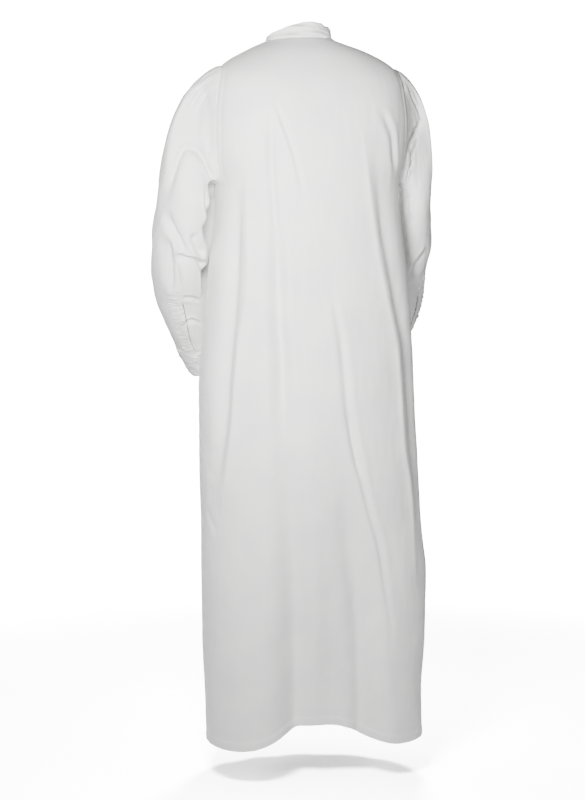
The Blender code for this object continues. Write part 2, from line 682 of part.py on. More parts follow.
def make_back(name, points, normals, material):
    index = np.arange(points.shape[0] * points.shape[1]).reshape(points.shape[:2])
    outer = points.reshape(-1, 3)
    inner = (points - CLOTH * normals).reshape(-1, 3)
    make_wall(name, outer, inner, grid_faces(index, 1), material)


def make_front(name, points, normals, slit_row, material):
    """The front panel, parted along its centre line above the end of the opening."""
    rows, columns = points.shape[:2]
    centre = columns // 2
    inner = points - CLOTH * normals
    shift = np.array([OPENING_HALF_WIDTH, 0, 0])
    index = np.arange(rows * columns).reshape(rows, columns)
    left, right = index[:, centre:].copy(), index[:, : centre + 1].copy()
    right[:slit_row, -1] = rows * columns + np.arange(slit_row)
    outer = np.concatenate([points.reshape(-1, 3), points[:slit_row, centre] - shift])
    inside = np.concatenate([inner.reshape(-1, 3), inner[:slit_row, centre] - shift])
    opened = np.arange(slit_row) * columns + centre
    outer[opened] += shift
    inside[opened] += shift
    make_wall(name, outer, inside, grid_faces(right, -1) + grid_faces(left, -1), material)


def make_front_placket(name, points, normals, last_row, material):
    """The strip over the front opening, made from the front panel's own points moved out."""
    centre = points.shape[1] // 2
    share = PLACKET_WIDTH / 2 / PLACKET_PANEL_COLUMN
    rows = slice(0, last_row + 1)
    middle, middle_out = points[rows, centre], normals[rows, centre]
    base, out = [middle], [middle_out]
    for step in (-1, 1):
        edge = middle + (points[rows, centre + step] - middle) * share
        place = 0 if step < 0 else len(base)
        base.insert(place, edge)
        out.insert(place, normals[rows, centre + step])
    base, out = np.stack(base, axis=1), unit(np.stack(out, axis=1))
    index = np.arange(base.shape[0] * base.shape[1]).reshape(base.shape[:2])
    outer, inner = base + out * (LIE_GAP + CLOTH), base + out * LIE_GAP
    make_wall(name, outer.reshape(-1, 3), inner.reshape(-1, 3), grid_faces(index, -1), material)
    return outer, out


def make_button(name, centre, normal, material):
    """A turned button with a raised rim, lying on the cloth with its face along the normal."""
    normal = unit(np.asarray(normal))
    first = unit(np.cross(normal, (0.0, 0.3, 1.0)))
    second = np.cross(normal, first)
    base = centre + normal * LIE_GAP
    points = []
    turns = 2 * math.pi * np.arange(BUTTON_SIDES)[:, None] / BUTTON_SIDES
    for reach, rise in BUTTON_PROFILE:
        centre_line = base + normal * (rise * BUTTON_THICKNESS)
        ring = centre_line + reach * BUTTON_RADIUS * (np.cos(turns) * first + np.sin(turns) * second)
        points.extend(ring)
    faces = [tuple(range(BUTTON_SIDES))[::-1]]
    last = (len(BUTTON_PROFILE) - 1) * BUTTON_SIDES
    faces.append(tuple(range(last, last + BUTTON_SIDES)))
    for ring in range(len(BUTTON_PROFILE) - 1):
        for step in range(BUTTON_SIDES):
            a, b = ring * BUTTON_SIDES + step, ring * BUTTON_SIDES + (step + 1) % BUTTON_SIDES
            faces.append((a, b, b + BUTTON_SIDES, a + BUTTON_SIDES))
    make_object(name, np.array(points), faces, material)


def main():
    clear_scene()
    cloth = make_material("white_cotton_blend", CLOTH_COLOUR, CLOTH_ROUGHNESS)
    shell = make_material("white_button_resin", BUTTON_COLOUR, BUTTON_ROUGHNESS)
    levels = body_levels()
    tip, underarm = YOKE_ROWS, YOKE_ROWS + ARMHOLE_ROWS
    back, back_normals, front, front_normals = body_panels(levels)
    closed_rows = list(range(0, tip + 1)) + list(range(underarm, len(levels)))
    join_edges(back, back_normals, front, front_normals, closed_rows)
    panels = (back, back_normals, front, front_normals)
    lie_normals = front_normals.copy()
    for side, word, table in ((1, "left", LEFT_SLEEVE), (-1, "right", RIGHT_SLEEVE)):
        slit = SLIT_COLUMNS[word]
        grid, out = make_sleeve("sleeve_" + word, side, panels, (tip, underarm), cloth)
        strip, strip_out = make_gauntlet("gauntlet_" + word, side, grid, out, slit, cloth)
        cuff = make_cuff("cuff_" + word, side, table, grid[-1], slit, cloth)
        row = len(strip) // 2
        make_button("gauntlet_button_" + word, strip[row, 1], strip_out[row, 1], shell)
        for number, share in enumerate(CUFF_BUTTON_SHARES, start=1):
            place = share * (CUFF_ROWS - 1)
            low = int(place)
            spot = cuff[low] + (cuff[low + 1] - cuff[low]) * (place - low)
            normal = np.cross(cuff[low + 1, -2] - cuff[low, -2], spot[-1] - spot[-3]) * side
            make_button(f"cuff_button_{word}_{number}", spot[-2], normal, shell)
    collar, collar_out = make_collar("collar", panels, cloth)
    make_back("back_panel", back, back_normals, cloth)
    middle_heights = front[:, front.shape[1] // 2, 2]
    slit_row = int(np.argmax(middle_heights < FRONT_OPENING_LOW))
    make_front("front_panel", front, front_normals, slit_row, cloth)
    placket, placket_out = make_front_placket("front_placket", front, lie_normals, slit_row + 1, cloth)
    for number, row in enumerate(FRONT_BUTTON_ROWS, start=1):
        make_button(f"front_button_{number}", placket[row, 1], placket_out[row, 1], shell)
    spot = (collar[1, 0] + collar[1, 1]) / 2
    make_button("collar_button", spot, collar_out[0] + collar_out[1], shell)


main()
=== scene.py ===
"""Looks of a worn thobe: thin cloth shells with creases, sewing and buttons, a floor, light and a camera.

Everything is in metres in the frame of the solids: +Z up, the front of the robe along -Y, the wearer's left
along +X, and the origin in the middle of the neck opening. Only folds, creases and names that end in "_mm"
are in millimetres.
"""

import logging
import math
from dataclasses import astuple, dataclass, field
from enum import IntEnum

import bmesh
import bpy
import numpy as np
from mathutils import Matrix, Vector
from mathutils.bvhtree import BVHTree


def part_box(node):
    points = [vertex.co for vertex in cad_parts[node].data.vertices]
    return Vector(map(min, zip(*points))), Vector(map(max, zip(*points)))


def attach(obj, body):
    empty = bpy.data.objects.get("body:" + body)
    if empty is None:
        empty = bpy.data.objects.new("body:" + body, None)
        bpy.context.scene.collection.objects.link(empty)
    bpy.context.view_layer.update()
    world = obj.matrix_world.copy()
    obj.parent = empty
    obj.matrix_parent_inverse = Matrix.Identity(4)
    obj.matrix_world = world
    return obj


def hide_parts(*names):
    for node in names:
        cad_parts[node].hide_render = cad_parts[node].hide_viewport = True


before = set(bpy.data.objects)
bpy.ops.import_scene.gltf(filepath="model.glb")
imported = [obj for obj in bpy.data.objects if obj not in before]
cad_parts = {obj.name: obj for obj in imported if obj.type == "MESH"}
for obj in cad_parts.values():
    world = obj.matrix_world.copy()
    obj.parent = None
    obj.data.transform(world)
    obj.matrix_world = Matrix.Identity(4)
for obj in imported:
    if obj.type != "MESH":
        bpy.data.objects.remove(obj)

Array = np.ndarray
Pair = tuple[float, float]
Triple = tuple[float, float, float]
Tree = bpy.types.NodeTree
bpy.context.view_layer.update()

# Millimetres in a metre.
MM = 1000
# Least length that a vector is divided by.
SMALLEST = 1e-9
# Room between two pieces that are sewn together, and under a piece that lies on another.
SEAM_GAP = 0.0003
LIE_GAP = 0.0005
# Thickness of the cloth, and of strips as a share of it.
CLOTH = 0.0012
STRIP_SHARE = 0.9
# Least angle between faces of the cloth that shows as an edge.
CLOTH_SHARP = math.radians(50)

log = logging.getLogger("thobe")


class Side(IntEnum):
    """The wearer's left or right, as the sign of X."""

    RIGHT = -1
    LEFT = 1


class Face(IntEnum):
    """The back or the front of the robe, as the sign of Y."""

    FRONT = -1
    BACK = 1

    @property
    def word(self) -> str:
        """The face in words."""
        return self.name.lower()


class Seed(IntEnum):
    """Starts of the random draws, so that every run gives the same cloth."""

    BACK_PUCKERS = 5
    FRONT_PUCKERS = 6
    BACK = 11
    FRONT = 23
    SLEEVE = 40
    STRIP = 60
    CUFF = 70
    COLLAR = 81
    PLACKET = 90


# --- Small tools for rows of points ---


def unit(vectors: Array) -> Array:
    """Return the vectors scaled to length one."""
    return vectors / np.maximum(np.linalg.norm(vectors, axis=-1, keepdims=True), SMALLEST)


def ease(value: Array) -> Array:
    """Return a smooth step from 0 to 1."""
    value = np.clip(value, 0.0, 1.0)
    return value * value * (3 - 2 * value)


def window(value: Array, first: float, last: float, rise: float, fall: float) -> Array:
    """Return a share that eases up from 0 past the first value and down to 0 before the last."""
    return ease((value - first) / rise) * ease((last - value) / fall)


def bell(distance: Array, width: float) -> Array:
    """Return a soft bump of height one and the given half width."""
    return np.exp(-((distance / width) ** 2))


def run_lengths(points: Array) -> Array:
    """Return the distance of each point from the first along the line."""
    return np.concatenate([[0], np.cumsum(np.linalg.norm(np.diff(points, axis=0), axis=1))])


def mean_down(rows: Array) -> Array:
    """Return for each point of a grid how far its row lies below the first, on the mean of the columns."""
    steps = np.linalg.norm(np.diff(rows, axis=0), axis=2).mean(axis=1)
    return np.concatenate([[0], np.cumsum(steps)])[:, None] * np.ones(rows.shape[:2])


def from_edge(across: Array) -> Array:
    """Return each point's distance from the nearer side edge of its panel."""
    return np.minimum(across - across[:, :1], across[:, -1:] - across)


def read_along(run: Array, rows: Array, wanted: Array) -> Array:
    """Return the rows, which stand at the distances in run, read at the wanted distances."""
    return np.stack([np.interp(wanted, run, values) for values in rows.T], axis=1)


def points_along(points: Array, distances: Array) -> Array:
    """Return the points at the given distances along the line."""
    return read_along(run_lengths(points), points, distances)


def smooth_curve(keys: Array, values: Array, wanted: Array) -> Array:
    """Draw a cubic through values that never swings past them.

    Args:
        keys: Places of the values, rising.
        values: One value for each key.
        wanted: Places to read the curve at.

    Returns:
        The curve's value at each wanted place.
    """
    steps = np.diff(keys)
    slopes = np.diff(values) / steps
    tangents = np.zeros(len(keys))
    tangents[0], tangents[-1] = slopes[0], slopes[-1]
    for index in range(1, len(keys) - 1):
        before, after = slopes[index - 1], slopes[index]
        if before * after > 0:
            tangents[index] = 2 * before * after / (before + after)
    place = np.clip(np.searchsorted(keys, wanted, side="right") - 1, 0, len(keys) - 2)
    step = steps[place]
    part = (wanted - keys[place]) / step
    start, end = values[place], values[place + 1]
    run_out = step * tangents[place] * (part**3 - 2 * part**2 + part)
    run_in = step * tangents[place + 1] * (part**3 - part**2)
    return start + (end - start) * (3 * part**2 - 2 * part**3) + run_out + run_in


def curve_rows(keys: Array, rows: Array, wanted: Array) -> Array:
    """Return each column of rows drawn as a smooth curve and read at the wanted places."""
    return np.stack([smooth_curve(keys, values, wanted) for values in rows.T], axis=1)


def grid_normals(points: Array, outward: int) -> Array:
    """Find the unit normals of a grid.

    Args:
        points: The grid's points.
        outward: Which way its face looks, as a sign.

    Returns:
        A normal for each point.
    """
    down = np.gradient(points, axis=0)
    along = np.gradient(points, axis=1)
    return unit(np.cross(along, down)) * outward


def ring_normals(grid: Array, side: int) -> Array:
    """Return unit normals of closed rings of points, facing out of the tube."""
    around = np.roll(grid, -1, axis=1) - np.roll(grid, 1, axis=1)
    return unit(np.cross(np.gradient(grid, axis=0), around)) * side


def ring_steps(grid: Array) -> Array:
    """Return the distance from each point of closed rings to the next one round."""
    return np.linalg.norm(np.diff(np.concatenate([grid, grid[:, :1]], axis=1), axis=1), axis=2)


def grid_faces(values: Array) -> Array:
    """Return the values at the four corners of each face of a grid."""
    return np.stack([values[:-1, :-1], values[:-1, 1:], values[1:, 1:], values[1:, :-1]], axis=2)


# --- Creases and unevenness ---


# Where the raised lip beside a trough stands, in half widths, and how wide it is.
FOLD_LIP_PLACE = 1.7
CREASE_LIP_PLACE = 1.8
CREASE_LIP_WIDTH = 0.9


@dataclass(frozen=True)
class Fold:
    """A soft trough, straight or bowed, from a top to a low place (across, z) in the cloth, in millimetres.

    "across" is measured round the cloth: from the centre line on a panel, positive to the wearer's left,
    and from the outer line of the arm on a sleeve, positive towards the back. Half widths and depths are
    those at the top and at the low end, and a negative depth makes a ridge. "lip" is the share of the depth
    that is raised beside the trough, on its left when it is positive and on its right when not. "fade" is
    the share of the length over which each end starts.
    """

    top: Pair
    low: Pair
    widths: Pair
    depths: Pair
    bow: float = 0.0
    lip: float = 0.0
    fade: float = 0.15

    def press(self, across: Array, height: Array) -> Array:
        """Return how far the cloth is pressed in at each point.

        Args:
            across: Distance round the cloth of each point.
            height: Height of each point.

        Returns:
            Depths in metres, positive into the robe.
        """
        top, low = np.array(self.top) / MM, np.array(self.low) / MM
        run_across, run_down = low - top
        length = math.hypot(run_across, run_down)
        off_across, off_down = across - top[0], height - top[1]
        part = (off_across * run_across + off_down * run_down) / length**2
        inside = np.clip(part, 0, 1)
        bow = self.bow / MM * 4 * inside * (1 - inside)
        apart = (off_down * run_across - off_across * run_down) / length - bow
        apart = apart / (self.widths[0] + (self.widths[1] - self.widths[0]) * inside) * MM
        depth = (self.depths[0] + (self.depths[1] - self.depths[0]) * inside) / MM
        trough = bell(apart, 1.0)
        if self.lip:
            trough = trough - abs(self.lip) * bell(apart - math.copysign(FOLD_LIP_PLACE, self.lip), 1.0)
        return depth * window(part, 0, 1, self.fade, self.fade) * trough


@dataclass(frozen=True)
class Crease:
    """A soft trough that follows a bent path of places (across, z), from its first place down to its last.

    Places are measured as for a fold, in millimetres. "left" is the half width on the side of the wearer's
    left on a panel, and of the back on a sleeve, and "right" is the other; the narrower side is the
    steeper. "lips" are the shares of the depth that stand up beside the trough, left and right. "rise" and
    "fall" are the shares of the length over which it starts and ends, and "grow" is the share of the depth
    that its far end has gained. A "power" nearer to 1 gives it a sharper line. A negative depth makes a
    ridge.
    """

    path: tuple[Pair, ...]
    depth: float
    left: float
    right: float
    lips: Pair = (0.0, 0.0)
    rise: float = 0.25
    fall: float = 0.25
    grow: float = 0.0
    power: float = 2.0
    samples: int = 48

    def press(self, across: Array, height: Array) -> Array:
        """Return how far the cloth is pressed in at each point.

        Args:
            across: Distance round the cloth of each point.
            height: Height of each point.

        Returns:
            Depths in metres, positive into the robe.
        """
        keys = np.array(self.path) / MM
        run = run_lengths(keys)
        line = curve_rows(run, keys, np.linspace(0, run[-1], self.samples))
        nearest = np.full(across.shape, np.inf)
        apart, part = np.zeros(across.shape), np.zeros(across.shape)
        for number, (start, end) in enumerate(zip(line[:-1], line[1:])):
            step = end - start
            length = float(np.hypot(*step))
            off_across, off_down = across - start[0], height - start[1]
            share = np.clip((off_across * step[0] + off_down * step[1]) / length**2, 0, 1)
            distance = np.hypot(off_across - share * step[0], off_down - share * step[1])
            closer = distance < nearest
            nearest = np.where(closer, distance, nearest)
            sign = np.sign(step[0] * off_down - step[1] * off_across)
            apart = np.where(closer, sign * distance, apart)
            part = np.where(closer, (number + share) / (self.samples - 1), part)
        inside = np.where(apart > 0, apart / (self.left / MM), -apart / (self.right / MM))
        trough = np.exp(-(np.abs(inside) ** self.power))
        for lip, shown in zip(self.lips, (apart > 0, apart <= 0)):
            if lip:
                raised = bell(inside - CREASE_LIP_PLACE, CREASE_LIP_WIDTH)
                trough = trough - lip * np.where(shown, raised, 0.0)
        ends = window(part, 0, 1, self.rise, self.fall)
        return self.depth / MM * (1 + self.grow * (part - 0.5)) * ends * trough


@dataclass(frozen=True)
class Ripples:
    """Slight unevenness of worn cloth, as a sum of soft waves in seeded directions."""

    across_wave: float
    down_wave: float
    height: float
    seed: int
    count: int = 16
    scales: Pair = (0.6, 1.5)
    latest_start: float = 7.0

    def lift(self, across: Array, down: Array) -> Array:
        """Return how far the cloth stands up at each point, in metres.

        Args:
            across: Distance of each point round the cloth.
            down: Distance of each point down the cloth.

        Returns:
            Heights in metres.
        """
        chance = np.random.default_rng(self.seed)
        total = np.zeros_like(across)
        for _ in range(self.count):
            turn = chance.uniform(0, 2 * math.pi)
            scale = chance.uniform(*self.scales)
            start = chance.uniform(0, self.latest_start)
            wave = across * math.cos(turn) / self.across_wave + down * math.sin(turn) / self.down_wave
            total += np.cos(2 * math.pi * scale * wave + start)
        return total * self.height / math.sqrt(self.count / 2)


Folds = tuple[Fold | Crease, ...]


@dataclass(frozen=True)
class SewnEdge:
    """The rolled edge of a folded piece and the shallow groove that its stitches draw in beside it."""

    roll: float
    roll_width: float
    groove: float
    groove_place: float
    groove_width: float

    def sink(self, edge: Array) -> Array:
        """Return how much lower the cloth lies at each distance from its edge."""
        rolled = self.roll * bell(edge, self.roll_width)
        return rolled + self.groove * bell(edge - self.groove_place, self.groove_width)


def pressed_by(folds: Folds, across: Array, height: Array) -> Array:
    """Return the depth that all the folds together press into the cloth."""
    return sum((fold.press(across, height) for fold in folds), np.zeros_like(across))


# --- Finishes ---


def linear(code: str) -> tuple[float, float, float, float]:
    """Read a colour in linear light.

    Args:
        code: The colour as sRGB hex digits.

    Returns:
        Red, green, blue and alpha.
    """
    parts = [int(code[place : place + 2], 16) / 255 for place in (0, 2, 4)]
    red, green, blue = (c / 12.92 if c <= 0.04045 else ((c + 0.055) / 1.055) ** 2.4 for c in parts)
    return red, green, blue, 1.0


def feed(node: bpy.types.Node, links: dict[str | int, object]) -> None:
    """Give a node's inputs what feeds them.

    Args:
        node: The node.
        links: Input name or number to an output socket or a plain value.
    """
    for name, value in links.items():
        if isinstance(value, bpy.types.NodeSocket):
            node.id_data.links.new(value, node.inputs[name])
        else:
            node.inputs[name].default_value = value


def add_node(tree: Tree, kind: str, links: dict | None = None, **settings: object) -> bpy.types.Node:
    """Add one node.

    Args:
        tree: The material's node tree.
        kind: The node's type name, after "ShaderNode".
        links: Input name or number to the output socket, or the plain value, that feeds it.
        settings: Attributes of the node.

    Returns:
        The new node.
    """
    node = tree.nodes.new("ShaderNode" + kind)
    for name, value in settings.items():
        setattr(node, name, value)
    feed(node, links or {})
    return node


def new_material(name: str) -> tuple[bpy.types.Material, Tree, bpy.types.Node]:
    """Start a material.

    Args:
        name: Its name.

    Returns:
        The material, its node tree and its shader.
    """
    material = bpy.data.materials.new(name)
    material.use_nodes = True
    return material, material.node_tree, material.node_tree.nodes["Principled BSDF"]


@dataclass(frozen=True)
class CottonPoplin:
    """White cotton and polyester poplin, plain woven, bleached and calendered.

    The calender leaves a faint satin bloom. The yarns lie 0.30 mm apart in the real cloth; they are drawn
    0.55 mm apart so that the weave still shows close to. Slubs are the thicker stretches of single yarns.
    """

    name: str = "bleached_cotton_poplin"
    light: str = "E9E9E6"
    shade: str = "E1E2E1"
    tone_places: Pair = (0.35, 0.65)
    roughness: float = 0.62
    ior: float = 1.46
    specular: float = 0.35
    sheen: float = 0.22
    sheen_roughness: float = 0.35
    yarn_pitch_mm: float = 0.55
    slub_length_mm: float = 28.0
    slub_width_mm: float = 0.9
    slub_share: float = 0.8
    mottle_mm: float = 60.0
    weave_height_mm: float = 0.035
    weave_strength: float = 0.35

    def make(self) -> bpy.types.Material:
        """Make the material, with its weave and slubs read from the flat place of the cloth.

        Returns:
            The material.
        """
        material, tree, shader = new_material(self.name)
        place = add_node(tree, "UVMap", uv_map="cloth").outputs["UV"]
        apart = add_node(tree, "SeparateXYZ", {0: place})
        turn = 2 * math.pi * MM / (2 * self.yarn_pitch_mm)
        waves = []
        for axis in ("X", "Y"):
            angle = add_node(tree, "Math", {0: apart.outputs[axis], 1: turn}, operation="MULTIPLY")
            waves.append(add_node(tree, "Math", {0: angle.outputs[0]}, operation="SINE").outputs[0])
        weave = add_node(tree, "Math", {0: waves[0], 1: waves[1]}, operation="MULTIPLY")
        slubs = []
        slub = (self.slub_width_mm, self.slub_length_mm)
        for across, down in (slub, slub[::-1]):
            stretch = add_node(tree, "Mapping", {"Vector": place, "Scale": (MM / across, MM / down, 1.0)})
            noise = add_node(tree, "TexNoise", {"Vector": stretch.outputs[0], "Scale": 1.0, "Detail": 2.0})
            slubs.append(noise.outputs["Fac"])
        yarns = add_node(tree, "Math", {0: slubs[0], 1: slubs[1]}, operation="ADD")
        parts = {0: yarns.outputs[0], 1: self.slub_share, 2: weave.outputs[0]}
        height = add_node(tree, "Math", parts, operation="MULTIPLY_ADD").outputs[0]
        reach = self.weave_height_mm / MM
        bump = add_node(tree, "Bump", {"Height": height, "Strength": self.weave_strength, "Distance": reach})
        body = add_node(tree, "TexCoord").outputs["Object"]
        mottle = add_node(tree, "TexNoise", {"Vector": body, "Scale": MM / self.mottle_mm, "Detail": 3.0})
        tone = add_node(tree, "ValToRGB", {"Fac": mottle.outputs["Fac"]})
        for stop, place, code in zip(tone.color_ramp.elements, self.tone_places, (self.shade, self.light)):
            stop.position = place
            stop.color = linear(code)
        feed(
            shader,
            {
                "Base Color": tone.outputs["Color"],
                "Normal": bump.outputs["Normal"],
                "Roughness": self.roughness,
                "Specular IOR Level": self.specular,
                "IOR": self.ior,
                "Sheen Weight": self.sheen,
                "Sheen Roughness": self.sheen_roughness,
            },
        )
        return material


@dataclass(frozen=True)
class SpunThread:
    """White spun polyester sewing thread, two-ply, with a soft gloss along the twist.

    The twist turns once in about 0.4 mm.
    """

    name: str = "spun_polyester_thread"
    colour: str = "EFEFEC"
    roughness: float = 0.5
    sheen: float = 0.2
    twist_mm: float = 0.4
    twist_height_mm: float = 0.05
    twist_strength: float = 0.4

    def make(self) -> bpy.types.Material:
        """Make the material, with the twist as fine noise in its bump.

        Returns:
            The material.
        """
        material, tree, shader = new_material(self.name)
        body = add_node(tree, "TexCoord").outputs["Object"]
        twist = add_node(tree, "TexNoise", {"Vector": body, "Scale": MM / self.twist_mm, "Detail": 1.0})
        depth = {"Strength": self.twist_strength, "Distance": self.twist_height_mm / MM}
        bump = add_node(tree, "Bump", {"Height": twist.outputs["Fac"], **depth})
        feed(
            shader,
            {
                "Normal": bump.outputs["Normal"],
                "Base Color": linear(self.colour),
                "Roughness": self.roughness,
                "Sheen Weight": self.sheen,
            },
        )
        return material


@dataclass(frozen=True)
class ButtonResin:
    """Cast polyester button resin, turned and tumble polished, with a faint pearl cloud in it."""

    name: str = "polished_button_resin"
    light: str = "F1F0EA"
    cloud: str = "DEDDD6"
    tone_places: Pair = (0.35, 0.6)
    roughness: float = 0.22
    ior: float = 1.54
    polish: float = 0.25
    polish_roughness: float = 0.1
    cloud_mm: float = 3.5
    cloud_swirl: float = 1.2

    def make(self) -> bpy.types.Material:
        """Make the material, with its cloud as swirled noise.

        Returns:
            The material.
        """
        material, tree, shader = new_material(self.name)
        body = add_node(tree, "TexCoord").outputs["Object"]
        size = {"Scale": MM / self.cloud_mm, "Detail": 2.0, "Distortion": self.cloud_swirl}
        cloud = add_node(tree, "TexNoise", {"Vector": body, **size})
        tone = add_node(tree, "ValToRGB", {"Fac": cloud.outputs["Fac"]})
        for stop, place, code in zip(tone.color_ramp.elements, self.tone_places, (self.cloud, self.light)):
            stop.position = place
            stop.color = linear(code)
        feed(
            shader,
            {
                "Base Color": tone.outputs["Color"],
                "Roughness": self.roughness,
                "IOR": self.ior,
                "Coat Weight": self.polish,
                "Coat Roughness": self.polish_roughness,
            },
        )
        return material


@dataclass(frozen=True)
class StudioPaper:
    """Matt white background paper, so brightly lit that it bleaches out wherever nothing shades it.

    From "plain_reach" to "glow_reach" away from the robe the shaded paper gives way to evenly bright paper.
    """

    name: str = "matt_studio_paper"
    colour: str = "C8C9CA"
    roughness: float = 0.95
    specular: float = 0.1
    bleach: float = 7.0
    glow: float = 20.0
    plain_reach: float = 0.8
    glow_reach: float = 2.2

    def make(self) -> bpy.types.Material:
        """Make plain paper for the light that it throws back, bleached where it is seen.

        Returns:
            The material.
        """
        material, tree, paper = new_material(self.name)
        plain = {"Roughness": self.roughness, "Specular IOR Level": self.specular}
        feed(paper, {"Base Color": linear(self.colour), **plain})
        near = add_node(tree, "BsdfDiffuse", {"Color": (self.bleach, self.bleach, self.bleach, 1)}).outputs[0]
        glow = add_node(tree, "Emission", {"Strength": self.glow}).outputs[0]
        place = add_node(tree, "TexCoord").outputs["Object"]
        reach = add_node(tree, "VectorMath", {0: place}, operation="LENGTH").outputs["Value"]
        ends = {"Value": reach, "From Min": self.plain_reach, "From Max": self.glow_reach}
        far = add_node(tree, "MapRange", ends, interpolation_type="SMOOTHSTEP").outputs[0]
        bleached = add_node(tree, "MixShader", {0: far, 1: near, 2: glow}).outputs[0]
        seen = add_node(tree, "LightPath").outputs["Is Camera Ray"]
        mixed = add_node(tree, "MixShader", {0: seen, 1: paper.outputs["BSDF"], 2: bleached})
        feed(tree.nodes["Material Output"], {"Surface": mixed.outputs[0]})
        return material


@dataclass
class Finishes:
    """The finishes of the robe, made once."""

    cloth: bpy.types.Material
    thread: bpy.types.Material
    resin: bpy.types.Material

    @classmethod
    def made(cls) -> "Finishes":
        """Return all three finishes."""
        return cls(CottonPoplin().make(), SpunThread().make(), ButtonResin().make())


# --- Cloth as a grid, and cloth as a shell ---


@dataclass
class ClothGrid:
    """The outer face of a piece of cloth, with each point's flat place; closed grids run round a limb."""

    points: Array
    normals: Array
    flat: Array
    outward: int
    closed: bool = False

    def sample(self, rows: Array, columns: Array) -> tuple[Array, Array]:
        """Read the face between its points.

        Args:
            rows: Row of each wanted place, with parts of a row.
            columns: Column of each wanted place, with parts of a column.

        Returns:
            The points and the unit normals there.
        """
        rows, columns = np.broadcast_arrays(np.asarray(rows, float), np.asarray(columns, float))
        height, width = self.points.shape[:2]
        upper = np.clip(np.floor(rows).astype(int), 0, height - 2)
        down = (rows - upper)[..., None]
        first = np.floor(columns).astype(int)
        if not self.closed:
            first = np.clip(first, 0, width - 2)
        past = (columns - first)[..., None]
        first, second = first % width, (first + 1) % width
        found = []
        for values in (self.points, self.normals):
            rows_read = [
                values[row, first] * (1 - past) + values[row, second] * past for row in (upper, upper + 1)
            ]
            found.append(rows_read[0] * (1 - down) + rows_read[1] * down)
        return found[0], unit(found[1])


@dataclass
class Patch:
    """A rectangle of point numbers in a shell, and the flat place of each."""

    index: Array
    flat: Array
    outward: int

    def quads(self) -> tuple[Array, Array]:
        """List the faces.

        Returns:
            The corners of each face and their flat places.
        """
        corners, places = grid_faces(self.index), grid_faces(self.flat)
        if self.outward < 0:
            corners, places = corners[:, :, ::-1], places[:, :, ::-1]
        return corners.reshape(-1, 4), places.reshape(-1, 4, 2)


def put_in_scene(name: str, data: bpy.types.ID) -> bpy.types.Object:
    """Show data in the scene.

    Args:
        name: Name of the object.
        data: Its mesh, light or camera.

    Returns:
        The new object.
    """
    thing = bpy.data.objects.new(name, data)
    bpy.context.scene.collection.objects.link(thing)
    return thing


def make_shell(
    name: str, outer: Array, inner: Array, patches: list[Patch], finish: bpy.types.Material
) -> bpy.types.Object:
    """Make a thin closed cloth wall from matching outer and inner points.

    Args:
        name: Name of the piece.
        outer: Points of the face that shows.
        inner: The same points on the other face.
        patches: Rectangles of point numbers that make up the face.
        finish: The cloth's material.

    Returns:
        The new object.
    """
    made = [patch.quads() for patch in patches]
    faces, places = np.concatenate([pair[0] for pair in made]), np.concatenate([pair[1] for pair in made])
    count = len(outer)
    starts, ends = faces, np.roll(faces, -1, axis=1)
    forward, backward = (starts * count + ends).ravel(), (ends * count + starts).ravel()
    open_edge = ~np.isin(backward, forward)
    first, second = starts.ravel()[open_edge], ends.ravel()[open_edge]
    first_place = places.reshape(-1, 2)[open_edge]
    second_place = np.roll(places, -1, axis=1).reshape(-1, 2)[open_edge]
    sides = np.stack([second, first, first + count, second + count], axis=1)
    side_places = np.stack([second_place, first_place, first_place, second_place], axis=1)
    all_faces = np.concatenate([faces, faces[:, ::-1] + count, sides])
    all_places = np.concatenate([places, places[:, ::-1], side_places])
    mesh = bpy.data.meshes.new(name)
    mesh.from_pydata(np.concatenate([outer, inner]), [], all_faces)
    layer = mesh.uv_layers.new(name="cloth")
    layer.data.foreach_set("uv", all_places.astype(np.float32).ravel())
    mesh.materials.append(finish)
    mesh.shade_smooth()
    mesh.set_sharp_from_angle(angle=CLOTH_SHARP)
    return put_in_scene(name, mesh)


def grid_shell(name: str, grid: ClothGrid, thickness: float, finish: bpy.types.Material) -> bpy.types.Object:
    """Make a shell from one open grid.

    Args:
        name: Name of the piece.
        grid: Its outer face.
        thickness: Thickness of the cloth.
        finish: The cloth's material.

    Returns:
        The new object.
    """
    index = np.arange(grid.points.shape[0] * grid.points.shape[1]).reshape(grid.points.shape[:2])
    outer = grid.points.reshape(-1, 3)
    inner = (grid.points - thickness * grid.normals).reshape(-1, 3)
    return make_shell(name, outer, inner, [Patch(index, grid.flat, grid.outward)], finish)


def declare(piece: bpy.types.Object, node: str) -> None:
    """Put a piece of cloth in place of a solid: hang it on the robe's root and hide the solid.

    Args:
        piece: The dressed piece.
        node: The solid that it replaces.
    """
    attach(piece, "root")
    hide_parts(node)
    log.info("%s: %d faces", piece.name, len(piece.data.polygons))


# --- Sewing ---


